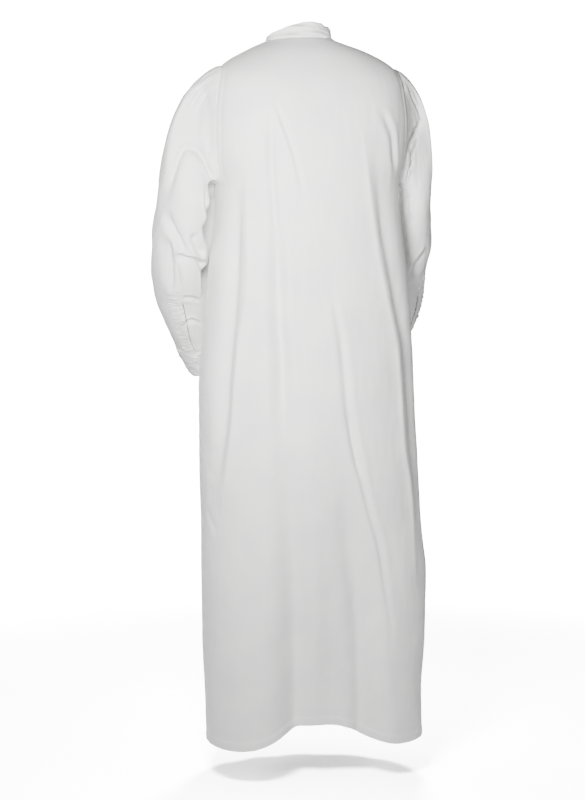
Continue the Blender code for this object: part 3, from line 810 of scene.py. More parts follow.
@dataclass
class Sewing:
    """Stitches of one sub-assembly, gathered and made as one joined mesh."""

    name: str
    thread: bpy.types.Material
    pitch: float = 0.0030
    length: float = 0.0023
    radius: float = 0.00020
    sides: int = 6
    # Rings of a stitch: share of its length, size and height, both in radii. Its ends dip into the cloth.
    rings: tuple[Triple, ...] = ((0.0, 0.55, -0.6), (0.25, 1.0, 0.45), (0.75, 1.0, 0.45), (1.0, 0.55, -0.6))
    starts: list[Array] = field(default_factory=list)
    ends: list[Array] = field(default_factory=list)
    outs: list[Array] = field(default_factory=list)

    def run(self, grid: ClothGrid, rows: Array | float, columns: Array | float) -> None:
        """Sew a line of even stitches.

        Args:
            grid: The cloth's face.
            rows: Rows to go through, with parts of a row.
            columns: Columns to go through, with parts of a column.
        """
        points, normals = grid.sample(rows, columns)
        whole = run_lengths(points)
        count = int(whole[-1] / self.pitch)
        if count < 1:
            return
        begin = np.arange(count) * self.pitch + (whole[-1] - count * self.pitch) / 2
        first, last = points_along(points, begin), points_along(points, begin + self.length)
        self.add(first, last, read_along(whole, normals, begin + self.length / 2))

    def add(self, first: Array, last: Array, out: Array) -> None:
        """Add stitches.

        Args:
            first: Where each starts.
            last: Where each ends.
            out: The way that the cloth faces there.
        """
        self.starts.append(first)
        self.ends.append(last)
        self.outs.append(unit(out))

    def make(self) -> None:
        """Make all the stitches as one mesh that rides on the robe."""
        first, last, out = (np.concatenate(values) for values in (self.starts, self.ends, self.outs))
        along = unit(last - first)
        beside = unit(np.cross(out, along))
        out = np.cross(along, beside)
        turns = 2 * math.pi * np.arange(self.sides) / self.sides
        points = []
        for share, size, rise in self.rings:
            middle = first + (last - first) * share + out * self.radius * rise
            for turn in turns:
                reach = self.radius * size
                points.append(middle + reach * (math.cos(turn) * beside + math.sin(turn) * out))
        cloud = np.stack(points, axis=1).reshape(-1, 3)
        one = []
        for ring in range(len(self.rings) - 1):
            for step in range(self.sides):
                a, b = ring * self.sides + step, ring * self.sides + (step + 1) % self.sides
                one.append((a, a + self.sides, b + self.sides, b))
        offsets = np.arange(len(first))[:, None, None] * len(self.rings) * self.sides
        faces = (np.array(one)[None] + offsets).reshape(-1, 4)
        mesh = bpy.data.meshes.new(self.name)
        mesh.from_pydata(cloud, [], faces)
        mesh.materials.append(self.thread)
        mesh.shade_smooth()
        piece = put_in_scene(self.name, mesh)
        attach(piece, "root")
        log.info("%s: %d stitches", self.name, len(first))


# --- The body of the robe ---


@dataclass(frozen=True)
class BodyLevel:
    """One level of the body: where it crosses the sides and the middles of the back and the front."""

    side_z: float
    left_x: float
    right_x: float
    side_y: float
    back_y: float
    back_z: float
    front_y: float
    front_z: float
    squareness: float


BODY = {
    "neck": BodyLevel(-0.012, 0.080, 0.063, -0.006, 0.058, -0.007, -0.074, -0.072, 2.0),
    "shoulder": BodyLevel(-0.031, 0.122, 0.122, 0.008, 0.098, -0.040, -0.098, -0.106, 2.1),
    "tip": BodyLevel(-0.064, 0.176, 0.178, 0.018, 0.130, -0.090, -0.112, -0.148, 2.3),
    "cap": BodyLevel(-0.112, 0.201, 0.199, 0.016, 0.145, -0.135, -0.119, -0.182, 2.4),
    "blade": BodyLevel(-0.175, 0.210, 0.206, 0.014, 0.154, -0.190, -0.125, -0.222, 2.5),
    "low_armhole": BodyLevel(-0.245, 0.203, 0.200, 0.015, 0.157, -0.250, -0.127, -0.262, 2.5),
    "underarm": BodyLevel(-0.300, 0.186, 0.186, 0.018, 0.157, -0.302, -0.126, -0.305, 2.4),
    "waist": BodyLevel(-0.495, 0.205, 0.207, 0.024, 0.160, -0.495, -0.116, -0.495, 2.3),
    "belly": BodyLevel(-0.600, 0.216, 0.217, 0.027, 0.168, -0.600, -0.112, -0.600, 2.1),
    "hip": BodyLevel(-0.720, 0.226, 0.221, 0.031, 0.178, -0.720, -0.114, -0.720, 2.1),
    "seat": BodyLevel(-0.850, 0.226, 0.227, 0.036, 0.186, -0.850, -0.120, -0.850, 2.2),
    "thigh": BodyLevel(-0.990, 0.223, 0.234, 0.040, 0.190, -0.990, -0.126, -0.990, 2.2),
    "knee": BodyLevel(-1.100, 0.223, 0.245, 0.043, 0.194, -1.100, -0.130, -1.100, 2.2),
    "calf": BodyLevel(-1.230, 0.221, 0.243, 0.046, 0.198, -1.230, -0.134, -1.232, 2.2),
    "shin": BodyLevel(-1.330, 0.218, 0.235, 0.048, 0.200, -1.332, -0.138, -1.335, 2.2),
    "hem": BodyLevel(-1.438, 0.214, 0.236, 0.050, 0.202, -1.436, -0.142, -1.448, 2.2),
}

# The broad folds, where the solids have theirs.
BACK_FOLDS: Folds = (
    # Down the left flank.
    Crease(
        (
            (170, -260), (176, -360), (180, -430), (182, -500), (192, -600), (203, -700), (210, -780),
            (220, -850), (234, -930),
        ),
        depth=14, left=20, right=13, rise=0.3, fall=0.3,
    ),
    # The two troughs of the skirt, left and right.
    Crease(
        (
            (92, -500), (87, -640), (83, -740), (75, -920), (67, -1090), (64, -1220), (64, -1340),
            (64, -1540),
        ),
        depth=18, left=26, right=25, lips=(0.08, 0.08), rise=0.5, fall=0.02, grow=0.8,
    ),
    Crease(
        ((-16, -780), (-30, -888), (-50, -980), (-80, -1133), (-92, -1263), (-98, -1375), (-100, -1540)),
        depth=22, left=25, right=25, lips=(0.08, 0.08), rise=0.5, fall=0.02, grow=0.8,
    ),
    # From the right shoulder blade down the right flank.
    Crease(
        (
            (-104, -177), (-114, -240), (-126, -316), (-136, -380), (-150, -453), (-166, -516),
            (-182, -569), (-200, -635), (-210, -720), (-214, -820), (-228, -900), (-236, -982),
            (-240, -1080),
        ),
        depth=8, left=14, right=24, fall=0.35, grow=0.3,
    ),
)
FRONT_FOLDS: Folds = (
    Fold((110, -330), (95, -1520), widths=(18, 30), depths=(3, 14), bow=6),
    Fold((175, -520), (190, -1520), widths=(16, 24), depths=(3, 9), bow=-6),
    Fold((10, -620), (18, -1520), widths=(18, 26), depths=(2, 10), bow=4),
    Fold((-95, -360), (-85, -1520), widths=(18, 28), depths=(3, 13), bow=-8),
    Fold((-170, -480), (-195, -1520), widths=(16, 24), depths=(3, 10), bow=6),
)

# Finer creases, pressed into the broad folds or beside them.
BACK_CREASES: Folds = (
    # From the left shoulder blade, slanting in and straight down.
    Crease(
        ((94, -140), (79, -179), (68, -209), (56, -248), (44, -300), (34, -360)),
        depth=6.2, left=5.4, right=5, lips=(0.15, 0.15), rise=0.2, fall=0.7,
    ),
    Crease(
        ((103, -148), (103, -230), (100, -316), (94, -390), (90, -450)),
        depth=8.5, left=9, right=7.5, lips=(0.1, 0.1), rise=0.3, fall=0.3,
    ),
    # The long crease left of the spine.
    Crease(
        ((93, -360), (91, -440), (90, -501), (89, -584), (85, -650), (86, -720), (86, -830)),
        depth=19, left=16, right=13, lips=(0.1, 0.1), rise=0.3, fall=0.35,
    ),
    # Sharp crests beside the flanks' folds, left and right.
    Crease(
        (
            (148, -250), (155, -334), (152, -400), (149, -470), (154, -540), (168, -600), (176, -660),
            (182, -720), (188, -790), (198, -850), (212, -915), (222, -990),
        ),
        depth=-7.2, left=12, right=8.5, rise=0.35, grow=0.4, power=1.2,
    ),
    Crease(
        (
            (-76, -160), (-84, -202), (-90, -250), (-99, -316), (-110, -385), (-121, -453), (-136, -516),
            (-151, -569), (-167, -635), (-176, -720), (-178, -820), (-196, -900), (-206, -982),
            (-210, -1080), (-216, -1160),
        ),
        depth=-5, left=8, right=15, rise=0.12, grow=0.5, power=1.2,
    ),
    # Over the right shoulder blade.
    Crease(
        ((-122, -148), (-141, -178), (-156, -207), (-165, -250), (-180, -289)),
        depth=4, left=9, right=7.5, lips=(0.2, 0.3), fall=0.3,
    ),
    # From the waist slanting down to the right, and its lower run.
    Crease(
        (
            (-12, -470), (-18, -522), (-28, -565), (-37, -620), (-43, -684), (-47, -740), (-60, -821),
            (-78, -890),
        ),
        depth=6.4, left=8.5, right=8, lips=(0.1, 0.1), rise=0.4, fall=0.1, grow=0.4,
    ),
    Crease(
        (
            (-47, -720), (-58, -806), (-76, -885), (-98, -963), (-117, -1024), (-129, -1097),
            (-139, -1159), (-146, -1230), (-152, -1300),
        ),
        depth=5.2, left=6, right=7, lips=(0.2, 0.2), rise=0.2, fall=0.5, grow=-0.4,
    ),
    # Low swells of the skirt.
    Crease(
        ((133, -860), (132, -1045), (132, -1206), (134, -1400)),
        depth=-2.2, left=16, right=16, rise=0.4, fall=0.1,
    ),
    Crease(
        ((20, -860), (15, -1049), (11, -1215), (11, -1400)),
        depth=-1.8, left=16, right=16, rise=0.4, fall=0.1,
    ),
    Crease(((-108, -1130), (-118, -1230), (-132, -1330), (-138, -1410)), depth=-2.4, left=15, right=15),
    # Short creases that run in from the side seams, left and right.
    Crease(((262, -846), (247, -838), (228, -836)), depth=2.2, left=5, right=7, lips=(0.3, 0)),
    Crease(((264, -868), (246, -880), (228, -892)), depth=1.6, left=5, right=6, lips=(0.3, 0)),
    Crease(((268, -950), (250, -978), (228, -1004)), depth=2.4, left=5, right=7, lips=(0.3, 0)),
    Crease(((-205, -829), (-224, -846), (-243, -866)), depth=1.8, left=5, right=6, lips=(0.3, 0)),
    # Faint unevenness at the waist and between the shoulder blades.
    Fold((45, -470), (60, -720), widths=(12, 14), depths=(0.6, 0.8), bow=4, lip=0.4),
    Fold((-45, -170), (-52, -320), widths=(10, 12), depths=(0.6, 0.5), bow=3, lip=0.4),
)
FRONT_CREASES: Folds = (
    # From the shoulders to the chest.
    Fold((120, -150), (70, -360), widths=(10, 14), depths=(2, 1), bow=6, lip=0.5),
    Fold((-118, -150), (-75, -350), widths=(10, 14), depths=(2, 1), bow=-5, lip=-0.5),
    # Down the sides and over the belly.
    Fold((140, -300), (118, -800), widths=(8, 12), depths=(1.6, 2.2), bow=4, lip=0.5),
    Fold((-138, -310), (-120, -840), widths=(8, 12), depths=(1.8, 2), bow=-4, lip=-0.5),
    Fold((75, -440), (50, -640), widths=(10, 14), depths=(1, 0.8), bow=4, lip=0.4),
    Fold((-60, -450), (-40, -700), widths=(10, 14), depths=(1.2, 1), bow=4, lip=-0.4),
    # In the skirt.
    Fold((90, -820), (94, -1430), widths=(10, 18), depths=(1, 3.6), bow=3, lip=0.3),
    Fold((-88, -860), (-86, -1430), widths=(10, 18), depths=(1, 3.4), bow=-3, lip=-0.3),
    Fold((20, -900), (12, -1430), widths=(10, 15), depths=(0.8, 2.6), lip=0.3),
    Fold((160, -900), (170, -1420), widths=(12, 16), depths=(0.8, 2.4), lip=0.4),
    Fold((-165, -940), (-172, -1420), widths=(12, 16), depths=(0.8, 2.4), lip=-0.4),
    # Low swells between them.
    Fold((48, -1000), (52, -1420), widths=(14, 18), depths=(-0.8, -2)),
    Fold((-40, -1020), (-38, -1420), widths=(14, 18), depths=(-0.8, -1.8)),
)


@dataclass
class BodyForm:
    """The form of the body: levels of points from the neck down to the hem, cut into a back and a front."""

    yoke_rows: int = 26
    armhole_rows: int = 90
    skirt_rows: int = 140
    hem_rows: int = 8
    hem_band: float = 0.020
    row_samples: int = 401
    armhole_cut: float = 0.060
    armhole_roundness: float = 0.9
    side_drop_power: float = 1.5
    edge_hold: float = 0.05
    edge_places: tuple[float, ...] = (0.016, 0.012, 0.0085, 0.0055, 0.0030, 0.0012, 0.0)
    back_columns: int = 84
    front_columns: int = 60
    placket_columns: int = 6
    placket_reach: float = 0.019
    hollow_across: float = 0.002
    hollow_width: float = 0.112
    hollow_power: float = 3.0
    hollow_depth: float = 0.060
    hollow_top: float = -0.80
    hem_rise: float = 0.044
    hem_rise_top: float = -1.15
    tip_spread: float = 14.0
    tip_passes: int = 60
    tip_step: float = 0.5
    tip_edge: float = 0.030

    @property
    def tip_row(self) -> int:
        """The row at the shoulder tip."""
        return self.yoke_rows

    @property
    def underarm_row(self) -> int:
        """The row at the bottom of the armhole."""
        return self.yoke_rows + self.armhole_rows

    def heights(self) -> Array:
        """Place the rows, closer at the shoulder tip and the underarm.

        Returns:
            The height at the side of every row.
        """
        neck, tip, underarm, hem = (BODY[name].side_z for name in ("neck", "tip", "underarm", "hem"))
        yoke = np.linspace(neck, tip, self.yoke_rows + 1)
        turn = np.linspace(0, math.pi, self.armhole_rows + 1)
        armhole = tip + (underarm - tip) * (1 - np.cos(turn)) / 2
        skirt = np.linspace(underarm, hem + self.hem_band, self.skirt_rows + 1)
        band = np.linspace(hem + self.hem_band, hem, self.hem_rows + 1)
        return np.concatenate([yoke, armhole[1:], skirt[1:], band[1:]])

    def size(self, name: str, heights: Array) -> Array:
        """Read one of the body's sizes.

        Args:
            name: The size's name in a body level.
            heights: Heights at the side.

        Returns:
            The size at each height.
        """
        levels = list(BODY.values())[::-1]
        keys = np.array([level.side_z for level in levels])
        values = np.array([getattr(level, name) for level in levels])
        return smooth_curve(keys, values, np.asarray(heights, float))

    def half_row(self, height: float, side: Side, face: Face) -> Array:
        """Draw one level of one panel from the centre line to the edge.

        Args:
            height: Height at the side.
            side: Left or right half.
            face: Back or front.

        Returns:
            Close points.
        """
        half_width = float(self.size("left_x" if side > 0 else "right_x", height))
        side_y, mid_y = float(self.size("side_y", height)), float(self.size(face.word + "_y", height))
        mid_z = float(self.size(face.word + "_z", height))
        power = 2 / float(self.size("squareness", height))
        depth = abs(mid_y - side_y)
        tip, underarm = BODY["tip"].side_z, BODY["underarm"].side_z
        part = min(max((height - tip) / (underarm - tip), 0.0), 1.0)
        edge = self.armhole_cut * (2 * math.sqrt(part * (1 - part))) ** self.armhole_roundness
        angles = math.acos((edge / depth) ** (1 / power)) * np.linspace(0, 1, self.row_samples)
        out = depth * np.maximum(np.cos(angles), 0) ** power
        towards = np.clip((out - edge) / (depth - edge), 0, 1)
        return np.stack(
            [
                side * half_width * np.sin(angles) ** power,
                side_y + face * out,
                height + (mid_z - height) * towards**self.side_drop_power,
            ],
            axis=1,
        )

    def half_panel(self, heights: Array, side: Side, face: Face) -> tuple[Array, Array]:
        """Draw half of a panel with its columns.

        Args:
            heights: Height of each row at the side.
            side: Left or right half.
            face: Back or front.

        Returns:
            Rows of points from the centre line to the edge, and their distances from the centre line.
        """
        rows, across = [], []
        edges = np.array(self.edge_places)
        for height in heights:
            curve = self.half_row(float(height), side, face)
            whole = run_lengths(curve)[-1]
            if face == Face.BACK:
                inner = np.linspace(0, whole - edges[0], self.back_columns + 1)[:-1]
            else:
                near = np.linspace(0, self.placket_reach, self.placket_columns + 1)[:-1]
                inner = np.linspace(self.placket_reach, whole - edges[0], self.front_columns + 1)[:-1]
                inner = np.concatenate([near, inner])
            places = np.concatenate([inner, whole - edges])
            rows.append(points_along(curve, places))
            across.append(side * places)
        return np.array(rows), np.array(across)

    def full_panel(self, face: Face) -> tuple[Array, Array]:
        """Draw one whole panel, from the wearer's right to the left.

        Args:
            face: Back or front.

        Returns:
            Rows of points, and their distances from the centre line.
        """
        heights = self.heights()
        left, left_across = self.half_panel(heights, Side.LEFT, face)
        right, right_across = self.half_panel(heights, Side.RIGHT, face)
        points = np.concatenate([right[:, :0:-1], left], axis=1)
        across = np.concatenate([right_across[:, :0:-1], left_across], axis=1)
        return self.eased_at_tip(points, across), across

    def eased_at_tip(self, points: Array, across: Array) -> Array:
        """Spread the bend at the shoulder tip over its neighbours, except at the edges.

        Args:
            points: The panel's points.
            across: Their distances from the centre line.

        Returns:
            The eased points.
        """
        rows = np.arange(len(points))[:, None, None]
        edge = from_edge(across)[:, :, None]
        weight = bell(rows - self.tip_row, self.tip_spread) * ease(edge / self.tip_edge)
        for _ in range(self.tip_passes):
            beside = (points[:-2] + points[2:]) / 2
            points = points.copy()
            points[1:-1] += self.tip_step * weight[1:-1] * (beside - points[1:-1])
        return points

    def hem_hollow(self, across: Array, height: Array) -> tuple[Array, Array]:
        """Draw the back's hem up between its two lobes.

        Args:
            across: Distance of each point from the centre line.
            height: Height of each point.

        Returns:
            How far the back is pressed in, and how far it lifts.
        """
        low = BODY["hem"].side_z
        pressed = ease((self.hollow_top - height) / (self.hollow_top - low))
        lifted = ease((self.hem_rise_top - height) / (self.hem_rise_top - low))
        spread = np.exp(-(np.abs((across - self.hollow_across) / self.hollow_width) ** self.hollow_power))
        return self.hollow_depth * pressed * spread, self.hem_rise * lifted * spread


@dataclass
class SeamRelief:
    """Small forms that sewing gives a panel: rolled edges, a ridge at the armhole, puckers and a doubled hem.

    A pair of rows says over how many rows a form starts below the shoulder tip and ends above the underarm.
    """

    roll_depth: float = 0.0010
    roll_width: float = 0.0028
    neck_roll: float = 2.2
    groove_depth: float = 0.0100
    groove_width: float = 0.0021
    groove_rows: Pair = (24, 15)
    groove_shares: Pair = (0.8, 1.2)
    groove_grows: Pair = (0.2, 0.7)
    ridge_height: float = 0.0014
    ridge_place: float = 0.0085
    ridge_width: float = 0.0040
    ridge_rows: Pair = (16, 15)
    ridge_trough: float = 0.6
    pucker_height: float = 0.0036
    pucker_reach: float = 0.018
    pucker_pitch: float = 0.036
    pucker_drift: float = 0.10
    pucker_rows: int = 12
    pucker_blend: int = 15
    hem_thickness: float = 0.0006
    hem_step: float = 0.002
    hem_groove: float = 0.0007
    hem_groove_width: float = 0.0025

    def groove(self, form: BodyForm, rows: Array) -> Array:
        """Draw the armhole seam in, deepest low down.

        Args:
            form: The body's form, for its row numbers.
            rows: Row numbers.

        Returns:
            How deep the seam lies at each row.
        """
        start, end = self.groove_grows
        low = ease(((rows - form.tip_row) / form.armhole_rows - start) / (end - start))
        share = self.groove_shares[0] + (self.groove_shares[1] - self.groove_shares[0]) * low
        return self.groove_depth * share * window(rows, form.tip_row, form.underarm_row, *self.groove_rows)

    def press(self, form: BodyForm, across: Array, down: Array, face: Face) -> Array:
        """Return how far sewing presses each point of a panel in.

        Args:
            form: The body's form, for its row numbers.
            across: Distance of each point from the centre line.
            down: Distance of each row from the neck.
            face: Which panel it is.

        Returns:
            Depths in metres, negative where the cloth stands up.
        """
        edge = from_edge(across)
        rows = np.arange(len(across))[:, None]
        rolled = np.maximum(bell(edge, self.roll_width), self.neck_roll * bell(down, self.roll_width))
        pressed = self.roll_depth * rolled + self.groove(form, rows) * bell(edge, self.groove_width)
        ridge = bell(edge - self.ridge_place, self.ridge_width)
        ridge = ridge - self.ridge_trough * bell(edge - 2 * self.ridge_place, self.ridge_width)
        armhole = window(rows, form.tip_row, form.underarm_row, *self.ridge_rows)
        pressed = pressed - self.ridge_height * armhole * ridge
        chance = np.random.default_rng(int(Seed.BACK_PUCKERS if face > 0 else Seed.FRONT_PUCKERS))
        drift = np.cumsum(chance.normal(0, self.pucker_drift, len(across)))[:, None]
        draws = chance.uniform(0, 1, len(across) + self.pucker_blend - 1)
        size = np.convolve(draws, np.ones(self.pucker_blend) / self.pucker_blend, mode="valid")[:, None] ** 2
        size = size * ease((rows - form.underarm_row) / self.pucker_rows) * bell(edge, self.pucker_reach)
        pressed = pressed - self.pucker_height * size * np.cos(2 * math.pi * down / self.pucker_pitch + drift)
        from_band = down[-1:] - down - form.hem_band
        pressed = pressed - self.hem_thickness * ease(-from_band / self.hem_step)
        return pressed + self.hem_groove * bell(from_band + self.hem_step, self.hem_groove_width)


@dataclass
class Body:
    """The back and front panels, joined at the shoulders and sides."""

    finishes: Finishes
    form: BodyForm
    relief: SeamRelief
    flat_back: Pair = (0.61, 1.47)
    area_back: float = 0.80
    flat_front: Pair = (0.62, 1.47)
    area_front: float = 0.81
    opening_low: float = -0.42
    opening_half: float = 0.001
    crease_hold: float = 0.03
    ripples: tuple[Triple, ...] = ((0.075, 0.210, 0.00050), (0.028, 0.070, 0.00016))
    ripples_from: float = 0.25
    hem_stitches: float = 0.9
    back: ClothGrid | None = None
    front: ClothGrid | None = None

    def shape(self) -> None:
        """Work out both panels with their folds, creases and seams."""
        self.back = self.shape_panel(Face.BACK, BACK_FOLDS, BACK_CREASES, Seed.BACK)
        self.front = self.shape_panel(Face.FRONT, FRONT_FOLDS, FRONT_CREASES, Seed.FRONT)
        tip, underarm, count = self.form.tip_row, self.form.underarm_row, len(self.back.points)
        for row in list(range(tip + 1)) + list(range(underarm, count)):
            for end in (0, -1):
                shared = unit(self.back.normals[row, end] + self.front.normals[row, end])
                self.back.normals[row, end] = self.front.normals[row, end] = shared
                middle = (self.back.points[row, end] + self.front.points[row, end]) / 2
                self.back.points[row, end] = middle + (0, SEAM_GAP / 2, 0)
                self.front.points[row, end] = middle - (0, SEAM_GAP / 2, 0)

    def shape_panel(self, face: Face, folds: Folds, creases: Folds, seed: int) -> ClothGrid:
        """Work out one panel.

        Args:
            face: Back or front.
            folds: The broad folds.
            creases: The finer creases.
            seed: Seed of its slight unevenness.

        Returns:
            The panel's outer face.
        """
        points, across = self.form.full_panel(face)
        height, down, edge = points[:, :, 2], mean_down(points), from_edge(across)
        hold = ease(edge / self.form.edge_hold)
        pressed = pressed_by(folds, across, height)
        lifted = np.zeros_like(across)
        if face == Face.BACK:
            hollow, lifted = self.form.hem_hollow(across, height)
            pressed = pressed + hollow
        fine = pressed_by(creases, across, height)
        for more, sizes in enumerate(self.ripples):
            fine = fine - Ripples(*sizes, seed + more).lift(across, down) * ease(down / self.ripples_from)
        fine = fine * ease(edge / self.crease_hold)
        outward = grid_normals(points, int(face))
        points = points - outward * ((pressed + fine) * hold)[:, :, None]
        points[:, :, 2] += lifted * hold
        outward = grid_normals(points, int(face))
        points = points - outward * self.relief.press(self.form, across, down, face)[:, :, None]
        flat = np.stack([across, -down], axis=2)
        return ClothGrid(points, grid_normals(points, int(face)), flat, int(face))

    def make_back(self) -> None:
        """Make the back's shell."""
        piece = grid_shell("back_cloth", self.back, CLOTH, self.finishes.cloth)
        declare(piece, "back_panel")

    def slit_row(self) -> int:
        """Return the first row below the end of the front opening."""
        middle = self.front.points[:, self.front.points.shape[1] // 2, 2]
        return int(np.argmax(middle < self.opening_low))

    def make_front(self) -> None:
        """Make the front's shell, parted along its centre line down to the end of the opening."""
        grid = self.front
        rows, columns = grid.points.shape[:2]
        centre, slit_row = columns // 2, self.slit_row()
        inner = grid.points - CLOTH * grid.normals
        shift = np.array([self.opening_half, 0, 0])
        index = np.arange(rows * columns).reshape(rows, columns)
        left, right = index[:, centre:].copy(), index[:, : centre + 1].copy()
        right[:slit_row, -1] = rows * columns + np.arange(slit_row)
        outer = np.concatenate([grid.points.reshape(-1, 3), grid.points[:slit_row, centre] - shift])
        inside = np.concatenate([inner.reshape(-1, 3), inner[:slit_row, centre] - shift])
        opened = np.arange(slit_row) * columns + centre
        outer[opened] += shift
        inside[opened] += shift
        patches = [
            Patch(right, grid.flat[:, : centre + 1], grid.outward),
            Patch(left, grid.flat[:, centre:], grid.outward),
        ]
        piece = make_shell("front_cloth", outer, inside, patches, self.finishes.cloth)
        declare(piece, "front_panel")

    def sew(self) -> None:
        """Sew the hem, the shoulder seams and the armholes."""
        sewing = Sewing("body_sewing", self.finishes.thread)
        for grid in (self.back, self.front):
            rows, columns = grid.points.shape[:2]
            hem_line = rows - 1 - self.form.hem_rows * self.hem_stitches
            sewing.run(grid, hem_line, np.linspace(0, columns - 1, 3 * columns))
        rows = np.arange(0.5, self.form.underarm_row - 1, 0.5)
        for grid, sewn in ((self.back, rows), (self.front, rows[rows > self.form.tip_row])):
            for column in (2.0, grid.points.shape[1] - 3.0):
                sewing.run(grid, sewn, column)
        sewing.make()


# --- Sleeves, sleeve plackets and cuffs ---


@dataclass(frozen=True)
class ArmRing:
    """One ring of a sleeve: its middle, its half width to the side and its half depth."""

    x: float
    y: float
    z: float
    half_side: float
    half_deep: float


LEFT_ARM = (
    ArmRing(0.2475, 0.002, -0.335, 0.0575, 0.076),
    ArmRing(0.2555, -0.010, -0.405, 0.0585, 0.074),
    ArmRing(0.2565, -0.028, -0.465, 0.0570, 0.070),
    ArmRing(0.2482, -0.058, -0.518, 0.0546, 0.064),
    ArmRing(0.2345, -0.080, -0.571, 0.045, 0.057),
    ArmRing(0.2140, -0.108, -0.619, 0.040, 0.050),
    ArmRing(0.1840, -0.134, -0.675, 0.037, 0.044),
)
RIGHT_ARM = (
    ArmRing(0.2340, -0.025, -0.335, 0.037, 0.076),
    ArmRing(0.2400, -0.060, -0.405, 0.046, 0.074),
    ArmRing(0.2350, -0.085, -0.465, 0.049, 0.068),
    ArmRing(0.2360, -0.115, -0.520, 0.050, 0.064),
    ArmRing(0.2350, -0.148, -0.570, 0.048, 0.058),
    ArmRing(0.2290, -0.180, -0.616, 0.042, 0.050),
    ArmRing(0.2050, -0.216, -0.674, 0.037, 0.044),
)
LEFT_SLEEVE_FOLDS: Folds = (
    # The arch over the back of the upper arm.
    Crease(
        (
            (50, -345), (49, -290), (50, -256), (54, -236), (66, -228), (82, -229), (107, -238),
            (142, -257), (175, -278), (205, -296),
        ),
        depth=8, left=12, right=13, lips=(0.1, 0.1), rise=0.22, fall=0.12,
    ),
    # Slanting to the elbow, and down beside it.
    Crease(
        ((40, -352), (58, -374), (78, -398), (96, -424), (108, -440)),
        depth=8, left=11, right=10, lips=(0.1, 0.1), fall=0.2,
    ),
    Crease(((52, -400), (62, -440), (68, -480), (72, -520)), depth=6.5, left=11, right=11, lips=(0.1, 0.1)),
    # Across the elbow, and round its front.
    Fold((70, -450), (160, -470), widths=(13, 13), depths=(5, 7), bow=4),
    Fold((-40, -395), (-130, -450), widths=(14, 14), depths=(4, 6)),
    Fold((-60, -470), (-80, -575), widths=(12, 12), depths=(3, 4)),
    # The hollow under the arm, and its end inside the forearm.
    Crease(
        ((204, -294), (204, -330), (200, -370), (187, -405), (168, -430)),
        depth=50, left=43, right=40, rise=0.08, fall=0.18, grow=-0.3, power=4,
    ),
    Crease(
        ((168, -462), (174, -485), (176, -505), (170, -530)),
        depth=18, left=34, right=16, rise=0.2, fall=0.3, power=2.8,
    ),
)
RIGHT_SLEEVE_FOLDS: Folds = (
    # Below the cap and across the upper arm.
    Fold((42, -100), (36, -172), widths=(11, 13), depths=(3, 5)),
    Crease(
        ((34, -160), (68, -186), (128, -209), (181, -230)),
        depth=5.6, left=13, right=12, lips=(0.1, 0.1), rise=0.2, fall=0.2,
    ),
    # Above and below the elbow.
    Fold((128, -300), (118, -385), widths=(12, 14), depths=(3, 5)),
    Fold((60, -428), (100, -490), widths=(13, 14), depths=(4, 5)),
    # The front of the elbow and the forearm.
    Fold((-45, -400), (-130, -462), widths=(14, 14), depths=(4, 6)),
    Fold((-65, -480), (-75, -575), widths=(12, 12), depths=(3, 4)),
)
